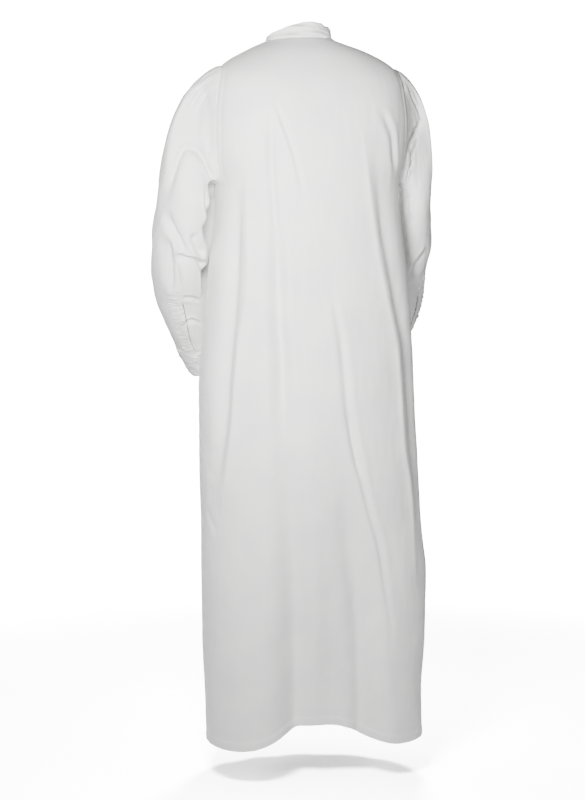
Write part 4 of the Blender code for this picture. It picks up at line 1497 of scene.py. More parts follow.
LEFT_SLEEVE_CREASES: Folds = (
    # Sharp line of the arch.
    Crease(
        (
            (51, -315), (49, -280), (50, -251), (54, -232), (66, -226), (82, -228), (107, -238),
            (142, -257), (175, -278), (205, -296),
        ),
        depth=5.1, left=4.2, right=7.5, lips=(0.4, 0.2), fall=0.15, grow=0.3,
    ),
    # Sharp lines to the elbow and across it.
    Crease(
        ((56, -369), (70, -389), (86, -410), (98, -429), (110, -440)),
        depth=5.1, left=4.8, right=7, lips=(0.4, 0.2), fall=0.2,
    ),
    Crease(
        ((79, -443), (99, -448), (123, -453), (146, -459), (164, -462)),
        depth=7.5, left=3.6, right=6, lips=(0.5, 0.2), rise=0.2, fall=0.2,
    ),
    # The dent of the elbow and the ridge beside it.
    Crease(
        ((113, -397), (124, -420), (139, -438), (156, -436)),
        depth=10.2, left=11, right=9.5, lips=(0.1, 0.3),
    ),
    Crease(((111, -420), (125, -441), (146, -446), (164, -438)), depth=-4.1, left=6, right=6),
    # Inner side, above and below the elbow.
    Crease(
        ((129, -310), (138, -344), (149, -365), (154, -385), (155, -404)),
        depth=6.8, left=8, right=4.5, lips=(0, 0.4), rise=0.2, fall=0.3,
    ),
    Crease(
        ((143, -459), (149, -485), (149, -515), (136, -540)),
        depth=7.5, left=8, right=6, lips=(0, 0.3), fall=0.3,
    ),
    # Down the back of the forearm.
    Crease(((65, -403), (70, -443), (73, -483), (75, -518)), depth=4.1, left=6, right=6, lips=(0.3, 0.3)),
    Crease(((83, -457), (87, -483), (90, -512)), depth=3.4, left=5, right=5, lips=(0.3, 0.3)),
    # Across the forearm above the cuff.
    Crease(((92, -530), (112, -530), (128, -539)), depth=4.4, left=3.4, right=5, lips=(0.5, 0.3)),
    Crease(((70, -584), (92, -578), (110, -588)), depth=4.4, left=3.4, right=5, lips=(0.5, 0.3)),
    # From the gathers of the cap.
    Crease(((-4, -100), (4, -122), (16, -146)), depth=2.7, left=3.4, right=4.4, lips=(0.4, 0.2)),
    Crease(((32, -104), (32, -125), (32, -152)), depth=3.1, left=3.4, right=4.4, lips=(0.4, 0.2)),
    Crease(((43, -112), (43, -132), (43, -155)), depth=2.4, left=3.4, right=4.4, lips=(0.4, 0.2)),
    Crease(((54, -116), (58, -138), (66, -164)), depth=3.1, left=3.4, right=5, lips=(0.4, 0.2)),
    Crease(((-8, -86), (34, -108), (76, -138)), depth=3.1, left=6, right=8, lips=(0.2, 0.2)),
    Crease(((20, -103), (60, -128), (104, -158)), depth=2.7, left=6, right=8, lips=(0.2, 0.2)),
    # The front half.
    Fold((-45, -398), (-130, -452), widths=(6, 8), depths=(2.2, 2.8), bow=4, lip=0.6),
    Fold((-50, -440), (-140, -486), widths=(6, 8), depths=(2, 2.4), bow=4, lip=0.6),
    Fold((-40, -170), (-70, -300), widths=(8, 10), depths=(1.6, 1.2), bow=6, lip=0.4),
    Fold((-20, -500), (-40, -590), widths=(8, 8), depths=(1.4, 1.4), lip=0.4),
)
RIGHT_SLEEVE_CREASES: Folds = (
    # Below the cap, and across the upper arm.
    Crease(((44, -94), (54, -122), (45, -148), (37, -170)), depth=4.4, left=4.5, right=5.5, lips=(0.3, 0.3)),
    Crease(
        ((36, -166), (68, -186), (128, -209), (183, -231)),
        depth=6.5, left=4.5, right=7, lips=(0.5, 0.2), rise=0.18, fall=0.18,
    ),
    # Towards the underarm and the elbow.
    Crease(
        ((121, -256), (160, -262), (180, -272), (182, -300)),
        depth=4.8, left=5, right=6, lips=(0.3, 0.3), rise=0.2,
    ),
    Crease(((133, -318), (126, -343), (123, -368)), depth=5.1, left=5.5, right=5.5, lips=(0.3, 0.3)),
    Crease(((68, -432), (86, -455), (95, -488)), depth=5.4, left=4.8, right=6.5, lips=(0.4, 0.2)),
    # At the underarm.
    Crease(((176, -226), (195, -244), (207, -264)), depth=6.8, left=5, right=5, lips=(0.3, 0.3)),
    # Down the forearm.
    Crease(((48, -505), (45, -543), (38, -582), (35, -608)), depth=3.4, left=5, right=5, lips=(0.3, 0.3)),
    # Fine lines beside them.
    Fold((60, -205), (180, -270), widths=(6, 8), depths=(1.4, 1.8), bow=4, lip=0.5),
    Fold((50, -475), (98, -520), widths=(6, 7), depths=(1.6, 2), lip=0.5),
    # The front half.
    Fold((-50, -402), (-130, -464), widths=(6, 8), depths=(2.2, 2.8), bow=4, lip=0.6),
    Fold((-50, -450), (-140, -500), widths=(6, 8), depths=(1.8, 2.2), bow=4, lip=0.6),
    Fold((-40, -180), (-60, -300), widths=(8, 10), depths=(1.6, 1.2), bow=6, lip=0.4),
    Fold((-20, -500), (-36, -590), widths=(8, 8), depths=(1.4, 1.4), lip=0.4),
)


@dataclass
class Sleeve:
    """One set-in sleeve with its slit, its pointed placket and its buttoned cuff."""

    finishes: Finishes
    side: Side
    arm: tuple[ArmRing, ...]
    folds: Folds
    creases: Folds
    slit_share: float
    cap_fullness: float
    rests: bool
    cap_rings: int = 54
    arm_rings: int = 96
    slit_rings: int = 40
    cap_heading: Triple = (0.93, 0.0, -0.36)
    cap_hold: float = 4.0
    cap_settle: float = 0.7
    underarm_hold: float = 3.0
    station_nudge: float = 0.004
    flat: Pair = (0.50, 0.62)
    area: float = 0.172
    fold_rings: Pair = (18, 32)
    crease_rings: Pair = (9, 13)
    ripple_rings: Pair = (12, 10)
    ripples: tuple[tuple[Triple, int], ...] = (((0.060, 0.090, 0.00060), 0), ((0.024, 0.040, 0.00018), 5))
    puff: float = 0.0024
    puff_place: float = 0.006
    puff_width: float = 0.012
    puff_rise: float = 0.004
    puff_low: float = 0.4
    seam_width: float = 0.0021
    gather_height: float = 0.0012
    gather_least: float = 0.2
    gather_blend: float = 0.12
    gather_hold: float = 1.5
    gather_count: int = 19
    gather_ring: int = 5
    gather_rise: int = 3
    gather_reach: int = 18
    gather_sway: float = 2.0
    seam_columns: int = 6
    seam_rows: int = 5
    slit_half: float = 0.001
    slit_gape: float = 0.0062
    slit_rings_to_gape: int = 10
    strip_columns: int = 15
    strip_rows: int = 48
    strip_steps: tuple[int, int, int] = (23, 9, 72)
    column_step: float = 0.00207
    rest_gap: float = 0.0008
    rest_near: float = 0.045
    rest_far: float = 0.080
    # Where the sleeve rests: lowest and highest place, and over how much it starts and ends; then the turns.
    rest_heights: tuple[float, ...] = (-0.60, -0.27, 0.08, 0.03)
    rest_turns: tuple[float, ...] = (3.60, 4.90, 0.25, 0.4)
    # Rows of the strip that the stitches of its point and of the box above its end go through.
    point_row: int = 10
    box_rows: Pair = (12.0, 14.0)
    strip_point: float = 0.0125
    strip_least: float = 0.04
    strip_edge: SewnEdge = SewnEdge(0.0004, 0.0012, 0.0003, 0.0030, 0.0012)
    strip_ripples: Triple = (0.034, 0.0075, 0.00055)
    strip_flat: Pair = (0.032, 0.15)
    cuff_flat: Pair = (0.29, 0.066)
    cuff_proud: float = 0.0020
    cuff_cloth: float = 0.0018
    cuff_drop: float = 0.0042
    cuff_rows: int = 26
    cuff_lap: int = 16
    cuff_sewn: float = 0.1
    cuff_edge: SewnEdge = SewnEdge(0.0006, 0.05, 0.0005, 0.10, 0.03)
    cuff_ripples: Triple = (0.036, 0.012, 0.00060)
    grid: ClothGrid | None = None
    strip: ClothGrid | None = None
    cuff: ClothGrid | None = None

    @property
    def word(self) -> str:
        """The side in words."""
        return self.side.name.lower()

    def arm_line(self) -> tuple[Array, Array]:
        """Return the arm's rings as rows of numbers, and their distances along it."""
        rows = np.array([astuple(ring) for ring in self.arm])
        return rows, run_lengths(rows[:, :3])

    def stations(self) -> tuple[Array, Array, Array]:
        """Place the arm's rings from the upper arm to the wrist.

        Returns:
            Their middles, directions and half sizes.
        """
        rows, run = self.arm_line()
        wanted = np.linspace(0, run[-2], self.arm_rings + 1)
        sizes = curve_rows(run, rows, wanted)
        ahead = curve_rows(run, rows[:, :3], wanted + self.station_nudge)
        before = curve_rows(run, rows[:, :3], np.maximum(wanted - self.station_nudge, 0))
        middles, directions = sizes[:, :3].copy(), unit(ahead - before)
        middles[:, 0] *= self.side
        directions[:, 0] *= self.side
        return middles, directions, sizes[:, 3:]

    def oval_ring(self, middle: Array, direction: Array, half_sizes: Array, turns: Array) -> Array:
        """Draw an oval across the arm, from its outer line towards the back.

        Args:
            middle: Middle of the oval.
            direction: The way down the arm.
            half_sizes: Half width to the side and half depth.
            turns: Angle of each point.

        Returns:
            The oval's points.
        """
        outward = unit(np.array([self.side, 0.0, 0.0]) - direction * (direction[0] * self.side))
        backward = self.side * np.cross(outward, direction)
        cosines, sines = np.cos(turns)[:, None], np.sin(turns)[:, None]
        return middle + half_sizes[0] * cosines * outward + half_sizes[1] * sines * backward

    def armhole(self, body: Body) -> tuple[Array, Array, Array, Array]:
        """Read the armhole off the body, from the shoulder tip down the back and up the front.

        Args:
            body: The body with its two panels.

        Returns:
            The edge's points, normals, ways out across the edge, and how deep the seam lies.
        """
        tip, underarm = body.form.tip_row, body.form.underarm_row
        end, beside = (-1, -1 - self.seam_columns) if self.side > 0 else (0, self.seam_columns)
        edge, normal, across, deep = [], [], [], []
        for row in (tip, *range(tip + 1, underarm), underarm, *range(underarm - 1, tip, -1)):
            panel = body.back if len(edge) <= underarm - tip else body.front
            deep.append(float(body.relief.groove(body.form, np.array(row))))
            normal.append(panel.normals[row, beside])
            if row in (tip, underarm):
                other = row - self.seam_rows if row == tip else row + self.seam_rows
                edge.append((body.back.points[row, end] + body.front.points[row, end]) / 2)
                across.append(edge[-1] - (body.back.points[other, end] + body.front.points[other, end]) / 2)
            else:
                edge.append(panel.points[row, end])
                across.append(edge[-1] + deep[-1] * normal[-1] - panel.points[row, beside])
        return np.array(edge), np.array(normal), unit(np.array(across)), np.array(deep)[:, None]

    def shape(self, body: Body) -> None:
        """Work out the rings from the armhole over the cap and down the arm.

        Args:
            body: The body that the sleeve is set into.
        """
        edge, normal, across, deep = self.armhole(body)
        sides = len(edge)
        turns = 2 * math.pi * np.arange(sides) / sides
        low = ((1 - np.cos(turns[:, None])) / 2) ** self.underarm_hold
        high = ((1 + np.cos(turns[:, None])) / 2) ** self.cap_hold
        leave = unit(across * (1 - low) + np.array([self.side, 0.0, 0.0]) * low)
        leave = unit(leave * (1 - high) + np.array(self.cap_heading) * (self.side, 1, 1) * high)
        tangents = unit(np.roll(edge, -1, axis=0) - np.roll(edge, 1, axis=0))
        mitre = unit(normal + unit(np.cross(leave, tangents)) * self.side)
        seam = edge + SEAM_GAP * unit(np.cross(tangents, mitre)) * self.side
        edge = seam + deep * normal
        middles, directions, sizes = self.stations()
        rings = [self.oval_ring(*station, turns) for station in zip(middles, directions, sizes)]
        reach = np.linalg.norm(rings[0] - edge, axis=1, keepdims=True)
        top = (1 + np.cos(turns)[:, None]) / 2
        start = leave * reach * (1 + (self.cap_fullness - 1) * top)
        finish = directions[0] * reach * self.cap_settle
        cap = [
            edge * (2 * part**3 - 3 * part**2 + 1)
            + start * (part**3 - 2 * part**2 + part)
            + rings[0] * (3 * part**2 - 2 * part**3)
            + finish * (part**3 - part**2)
            for part in np.linspace(0, 1, self.cap_rings + 1)[:-1]
        ]
        self.grid = self.dress(np.array(cap + rings), turns, seam, deep)
        if self.rests:
            self.rest_on(body)

    def rest_on(self, body: Body) -> None:
        """Lay the inner wall of the sleeve against the body, where the arm presses it there.

        Args:
            body: The body with its two panels.
        """
        corners, faces = [], []
        for grid in (body.back, body.front):
            index = np.arange(grid.points[:, :, 0].size).reshape(grid.points.shape[:2]) + len(corners)
            corners += grid.points.reshape(-1, 3).tolist()
            faces += grid_faces(index).reshape(-1, 4).tolist()
        tree = BVHTree.FromPolygons(corners, faces)
        points = self.grid.points.copy()
        height = points[:, :, 2]
        turn = 2 * math.pi * np.arange(points.shape[1]) / points.shape[1]
        held = window(height, *self.rest_heights) * window(turn, *self.rest_turns)
        for row, column in np.argwhere(held > 0):
            spot = points[row, column]
            touched, _, _, distance = tree.find_nearest(spot.tolist(), self.rest_far)
            if touched is None:
                continue
            near = float(ease((self.rest_far - distance) / (self.rest_far - self.rest_near)))
            share = max(distance - self.rest_gap, 0.0) * near * held[row, column]
            points[row, column] = spot + (np.array(touched) - spot) / max(distance, SMALLEST) * share
        normals = ring_normals(points, int(self.side))
        normals[-1] = self.grid.normals[-1]
        self.grid = ClothGrid(points, normals, self.grid.flat, self.grid.outward, closed=True)

    def around(self, grid: Array) -> tuple[Array, Array]:
        """Measure closed rings.

        Args:
            grid: The rings' points.

        Returns:
            Each point's signed distance from the arm's outer line, and each ring's whole way round.
        """
        steps = ring_steps(grid)
        distance = np.cumsum(steps, axis=1) - steps
        whole = steps.sum(axis=1, keepdims=True)
        return np.where(distance > whole / 2, distance - whole, distance), whole

    def pressed_round(self, folds: Folds, around: Array, whole: Array, height: Array) -> Array:
        """Return the depth that the folds press in, also where they cross the arm's inner line."""
        return sum(pressed_by(folds, around + turn * whole, height) for turn in (-1, 0, 1))

    def dress(self, grid: Array, turns: Array, seam: Array, deep: Array) -> ClothGrid:
        """Press folds, creases, gathers and the seam into the plain rings.

        Args:
            grid: The rings' points.
            turns: Angle of each column.
            seam: The first ring on the armhole.
            deep: How deep the seam lies there.

        Returns:
            The dressed sleeve.
        """
        around, whole = self.around(grid)
        down, height = mean_down(grid), grid[:, :, 2]
        ring, last = np.arange(len(grid))[:, None], len(grid) - 1
        broad = self.pressed_round(self.folds, around, whole, height)
        broad = broad * window(ring, 0, last, *self.fold_rings)
        fine = self.pressed_round(self.creases, around, whole, height)
        fine = fine * window(ring, 0, last, *self.crease_rings)
        free = window(ring, 0, last, *self.ripple_rings)
        seed = Seed.SLEEVE + self.side
        for sizes, more in self.ripples:
            fine = fine - Ripples(*sizes, seed + more).lift(around, down) * free
        sizes = np.random.default_rng(seed).uniform(self.gather_least, 1.0, len(turns))
        smooth = np.abs(np.fft.fftfreq(len(turns))) < self.gather_blend
        sizes = np.real(np.fft.ifft(np.fft.fft(sizes) * smooth))
        top = ((1 + np.cos(turns)) / 2) ** self.gather_hold
        sway = self.gather_sway * np.sin(2 * turns)
        gathers = np.cos(self.gather_count * turns + sway) * sizes * top
        fade = bell(ring - self.gather_ring, self.gather_reach / 2) * ease(ring / self.gather_rise)
        fine = fine - self.gather_height * gathers[None, :] * fade
        puffed = ease(down / self.puff_rise) * bell(down - self.puff_place, self.puff_width)
        puffed = puffed * ((1 + self.puff_low + np.cos(turns)) / (2 + self.puff_low))
        fine = fine - self.puff * puffed + deep.T * bell(down, self.seam_width)
        grid = grid - ring_normals(grid, int(self.side)) * (broad + fine)[:, :, None]
        grid[0] = seam
        normals = ring_normals(grid, int(self.side))
        direction = self.stations()[1][-1]
        normals[-1] = unit(normals[-1] - (normals[-1] @ direction)[:, None] * direction)
        return ClothGrid(grid, normals, np.stack([around, -down], axis=2), -int(self.side), closed=True)

    def slit_column(self) -> int:
        """Return the column that the slit runs along."""
        return round(self.slit_share * self.grid.points.shape[1])

    def make_sleeve(self) -> None:
        """Make the sleeve's shell, parted along its slit."""
        grid = self.grid
        rings, sides = grid.points.shape[:2]
        column, slit_ring = self.slit_column(), rings - 1 - self.slit_rings
        index = np.roll(np.arange(rings * sides).reshape(rings, sides), -column, axis=1)
        index = np.concatenate([index, index[:, :1]], axis=1)
        distance = np.cumsum(np.roll(ring_steps(grid.points), -column, axis=1), axis=1)
        distance = np.concatenate([np.zeros((rings, 1)), distance], axis=1)
        flat = np.stack([distance, np.repeat(grid.flat[:, :1, 1], sides + 1, axis=1)], axis=2)
        inner = grid.points - CLOTH * grid.normals
        extra = np.arange(slit_ring + 1, rings)
        index[extra, -1] = rings * sides + np.arange(len(extra))
        around = unit(np.roll(grid.points, -1, axis=1) - np.roll(grid.points, 1, axis=1))[extra, column]
        gape = self.slit_gape * ease((extra - slit_ring) / self.slit_rings_to_gape)
        faces = []
        for points in (grid.points, inner):
            face = np.concatenate([points.reshape(-1, 3), points[extra, column] - self.slit_half * around])
            face[extra * sides + column] += around * (self.slit_half + gape)[:, None]
            faces.append(face)
        name = f"{self.word}_sleeve_cloth"
        piece = make_shell(name, *faces, [Patch(index, flat, grid.outward)], self.finishes.cloth)
        declare(piece, f"sleeve_{self.word}")

    def make_strip(self) -> None:
        """Make the pointed placket over the slit from the sleeve's own face."""
        last, column = len(self.grid.points) - 1, self.slit_column()
        beside_steps, point_steps, down_steps = self.strip_steps
        across = np.linspace(-self.strip_columns, 0, beside_steps)
        middle = -self.strip_columns / 2
        spacing = np.linalg.norm(self.grid.points[last, column] - self.grid.points[last - 1, column])
        point_rows = self.strip_point / spacing
        point = np.linspace(-self.strip_rows - point_rows, -self.strip_rows, point_steps)[:-1]
        rows = np.concatenate([point, np.linspace(-self.strip_rows, 0, down_steps)])
        taper = np.clip((rows - rows[0]) / point_rows, self.strip_least, 1.0)
        columns = middle + (across[None, :] - middle) * taper[:, None]
        base, out = self.grid.sample(last + rows[:, None], column + columns)
        edge = np.minimum(across + self.strip_columns, -across)[None, :] * taper[:, None] * self.column_step
        edge = np.minimum(edge, (rows - rows[0])[:, None] * spacing)
        beside, down = columns * self.column_step, rows[:, None] * spacing * np.ones_like(columns)
        lift = LIE_GAP + CLOTH - self.strip_edge.sink(edge)
        lift = lift + Ripples(*self.strip_ripples, Seed.STRIP + self.side).lift(beside, down)
        points = base + out * lift[:, :, None]
        self.strip = ClothGrid(points, out, np.stack([beside, -down], axis=2), self.grid.outward)
        name = f"{self.word}_sleeve_placket"
        piece = grid_shell(name, self.strip, CLOTH * STRIP_SHARE, self.finishes.cloth)
        declare(piece, f"gauntlet_{self.word}")

    def make_cuff(self) -> None:
        """Make the cuff, whose outer end lies over its under end at the slit."""
        rows, run = self.arm_line()
        sizes = curve_rows(run, rows, np.linspace(run[-2], run[-1], self.cuff_rows))
        middles = sizes[:, :3] * (self.side, 1, 1)
        direction = self.stations()[1][-1]
        heading = unit(middles[-1] - middles[0])
        sides = self.grid.points.shape[1]
        steps = np.arange(-self.cuff_lap, sides + 1)
        turns = 2 * math.pi * (self.slit_column() + steps) / sides
        drop = (1 - ease(steps / (2 * self.cuff_lap)))[:, None] * self.cuff_drop
        grid, out = [], []
        for part, middle, size in zip(np.linspace(0, 1, self.cuff_rows), middles, sizes[:, 3:]):
            across = unit(direction * (1 - part) + heading * part)
            ring_out = unit(self.oval_ring(middle, across, size[::-1], turns) - middle)
            sunk = self.cuff_edge.sink(part) + self.cuff_edge.sink(1 - part) + drop
            grid.append(self.oval_ring(middle, across, size + self.cuff_proud, turns) - ring_out * sunk)
            out.append(ring_out)
        grid, out = np.array(grid) + direction * SEAM_GAP, np.array(out)
        distance = run_lengths(grid[0])[None, :] * np.ones(grid.shape[:2])
        down = run_lengths(grid[:, 0])[:, None] * np.ones(grid.shape[:2])
        lift = Ripples(*self.cuff_ripples, Seed.CUFF + self.side).lift(distance, down)
        grid = grid + out * lift[:, :, None]
        self.cuff = ClothGrid(grid, out, np.stack([distance, -down], axis=2), self.grid.outward)
        piece = grid_shell(f"{self.word}_cuff_cloth", self.cuff, self.cuff_cloth, self.finishes.cloth)
        declare(piece, f"cuff_{self.word}")

    def sew(self) -> None:
        """Sew the placket's edges and point, the box above its end, and the cuff's edges."""
        sewing = Sewing(f"{self.word}_sleeve_sewing", self.finishes.thread)
        strip, cuff = self.strip, self.cuff
        rows, columns = strip.points.shape[:2]
        for column in (2.0, columns - 3.0):
            sewing.run(strip, np.linspace(self.point_row, rows - 1, 2 * rows), column)
        for column in (2.0, columns - 3.0):
            slanting = np.linspace(column, (columns - 1) / 2, 12)
            sewing.run(strip, np.linspace(self.point_row, 2, 12), slanting)
        for row in self.box_rows:
            sewing.run(strip, row, np.linspace(2, columns - 3, 24))
        rows, columns = cuff.points.shape[:2]
        ends = self.cuff_sewn * (rows - 1), (1 - self.cuff_sewn) * (rows - 1)
        for row in ends:
            sewing.run(cuff, row, np.linspace(1.5, columns - 2.5, 3 * columns))
        for column in (1.5, columns - 2.5):
            sewing.run(cuff, np.linspace(*ends, 60), column)
        sewing.make()


# --- Collar and front placket ---


@dataclass
class Collar:
    """The stand collar, from its outer end over the right front, round the neck, to its under end.

    Each of the pairs "back", "left", "front" and "right" holds the height there and how far the top leans in.
    """

    finishes: Finishes
    back: Pair = (0.032, 0.006)
    left: Pair = (0.012, -0.001)
    front: Pair = (0.030, 0.004)
    right: Pair = (0.030, 0.014)
    cloth: float = 0.0022
    spacing: float = 0.0022
    tuck: float = 0.0029
    tuck_from: float = 0.044
    tuck_over: float = 0.060
    rows: int = 22
    overlap: int = 6
    top_edge: SewnEdge = SewnEdge(0.0007, 0.0014, 0.0004, 0.0040, 0.0014)
    neck_edge: SewnEdge = SewnEdge(0.0014, 0.0016, 0.0004, 0.0028, 0.0012)
    wrinkles: tuple[Triple, ...] = ((0.050, 0.0120, 0.0013), (0.018, 0.014, 0.00022))
    flat: Pair = (0.46, 0.034)
    area: float = 0.0135
    grid: ClothGrid | None = None

    def neckline(self, body: Body) -> tuple[Array, Array, Array, Array]:
        """Find the line that the collar stands on, with its overlap.

        Args:
            body: The body with its two panels.

        Returns:
            Distances along the line, points, normals, and level ways away from the neck's middle.
        """
        back, front = body.back, body.front
        centre = front.points.shape[1] // 2
        first = list(range(centre - self.overlap, front.points.shape[1]))
        behind = list(range(back.points.shape[1] - 2, 0, -1))
        last = list(range(0, centre + self.overlap + 1))
        joints = [(front.points[0, end] + back.points[0, end]) / 2 for end in (-1, 0)]
        parts = (front.points[0, first[:-1]], joints[:1], back.points[0, behind], joints[1:])
        ring = np.concatenate([*parts, front.points[0, last[1:]]])
        normal = np.concatenate([front.normals[0, first], back.normals[0, behind], front.normals[0, last]])
        run = run_lengths(ring)
        places = np.linspace(0, run[-1], int(run[-1] / self.spacing))
        away = unit((points_along(ring, places) - (joints[0] + joints[1]) / 2) * (1, 1, 0))
        return places, points_along(ring, places), unit(read_along(run, normal, places)), away

    def make(self, body: Body) -> None:
        """Make the collar's shell on the neckline.

        Args:
            body: The body with its two panels.
        """
        places, ring, normal, away = self.neckline(body)
        sides = ((1, 1, self.back), (0, 1, self.left), (1, -1, self.front), (0, -1, self.right))
        weights = [(np.maximum(sign * away[:, axis], 0) ** 2, sizes) for axis, sign, sizes in sides]
        rise = sum(weight * sizes[0] for weight, sizes in weights)[:, None]
        lean = sum(weight * sizes[1] for weight, sizes in weights)[:, None]
        along = unit(np.gradient(ring, axis=0))
        rising = rise * np.array([0, 0, 1.0]) - lean * away
        out = unit(np.cross(along, rising))
        gap = unit(np.cross(unit(normal + out), along))
        tuck = (1 - ease((places[-1] - places - self.tuck_from) / self.tuck_over))[:, None] * self.tuck
        base = ring + SEAM_GAP * gap - out * tuck
        parts = np.linspace(0, 1, self.rows)[:, None]
        grid = base + rising * parts[:, :, None]
        distance = places[None, :] * np.ones(grid.shape[:2])
        up = parts * rise.T
        lift = -self.top_edge.sink(rise.T - up) - self.neck_edge.sink(up)
        for more, sizes in enumerate(self.wrinkles):
            lift = lift + Ripples(*sizes, Seed.COLLAR + more).lift(distance, up)
        grid = grid + out * lift[:, :, None]
        self.grid = ClothGrid(grid, grid_normals(grid, 1), np.stack([distance, up], axis=2), 1)
        piece = grid_shell("collar_cloth", self.grid, self.cloth, self.finishes.cloth)
        declare(piece, "collar")

    def sew(self) -> None:
        """Sew a line just above the neck seam, one below the top edge and one down each end."""
        sewing = Sewing("collar_sewing", self.finishes.thread)
        columns = self.grid.points.shape[1]
        places = np.linspace(1.5, columns - 2.5, 3 * columns)
        rise = np.interp(places, np.arange(columns), self.grid.flat[-1, :, 1])
        for up in (self.neck_edge.groove_place, rise - self.top_edge.groove_place):
            sewing.run(self.grid, up / rise * (self.rows - 1), places)
        for column in (1.5, columns - 2.5):
            sewing.run(self.grid, np.linspace(2.5, self.rows - 4.0, 20), column)
        sewing.make()


@dataclass
class FrontPlacket:
    """The strip over the front opening, made from the front panel's own face."""

    finishes: Finishes
    half_width: float = 0.0175
    past_opening: float = 0.012
    rows: int = 190
    columns: int = 25
    box_row: float = 14.0
    edge: SewnEdge = SewnEdge(0.0005, 0.0012, 0.0003, 0.0035, 0.0013)
    ripples: Triple = (0.016, 0.030, 0.00028)
    flat: Pair = (0.035, 0.43)
    grid: ClothGrid | None = None

    def make(self, body: Body) -> None:
        """Make the strip's shell.

        Args:
            body: The body with its two panels.
        """
        front = body.front
        centre = front.points.shape[1] // 2
        heights = front.points[:, centre, 2]
        low = body.opening_low - self.past_opening
        end = float(np.interp(-low, -heights, np.arange(len(heights))))
        per_column = body.form.placket_reach / body.form.placket_columns
        across = np.linspace(-self.half_width, self.half_width, self.columns)[None, :]
        base, out = front.sample(np.linspace(0, end, self.rows)[:, None], centre + across / per_column)
        down = run_lengths(base[:, self.columns // 2])[:, None] * np.ones(base.shape[:2])
        across = across + 0 * down
        edge = np.minimum(self.half_width - np.abs(across), down[-1:] - down)
        lift = LIE_GAP + CLOTH - self.edge.sink(edge)
        lift = lift + Ripples(*self.ripples, Seed.PLACKET).lift(across, down)
        points = base + out * lift[:, :, None]
        self.grid = ClothGrid(points, out, np.stack([across, -down], axis=2), front.outward)
        piece = grid_shell("front_placket_cloth", self.grid, CLOTH * STRIP_SHARE, self.finishes.cloth)
        declare(piece, "front_placket")

    def sew(self) -> None:
        """Sew both long edges, the lower end and the box above it."""
        sewing = Sewing("front_placket_sewing", self.finishes.thread)
        rows, columns = self.rows, self.columns
        for column in (2.5, columns - 3.5):
            sewing.run(self.grid, np.linspace(1, rows - 3, 3 * rows), column)
        for row in (rows - 2.5, rows - self.box_row):
            sewing.run(self.grid, row, np.linspace(2.5, columns - 3.5, 60))
        sewing.make()


# --- Buttons ---


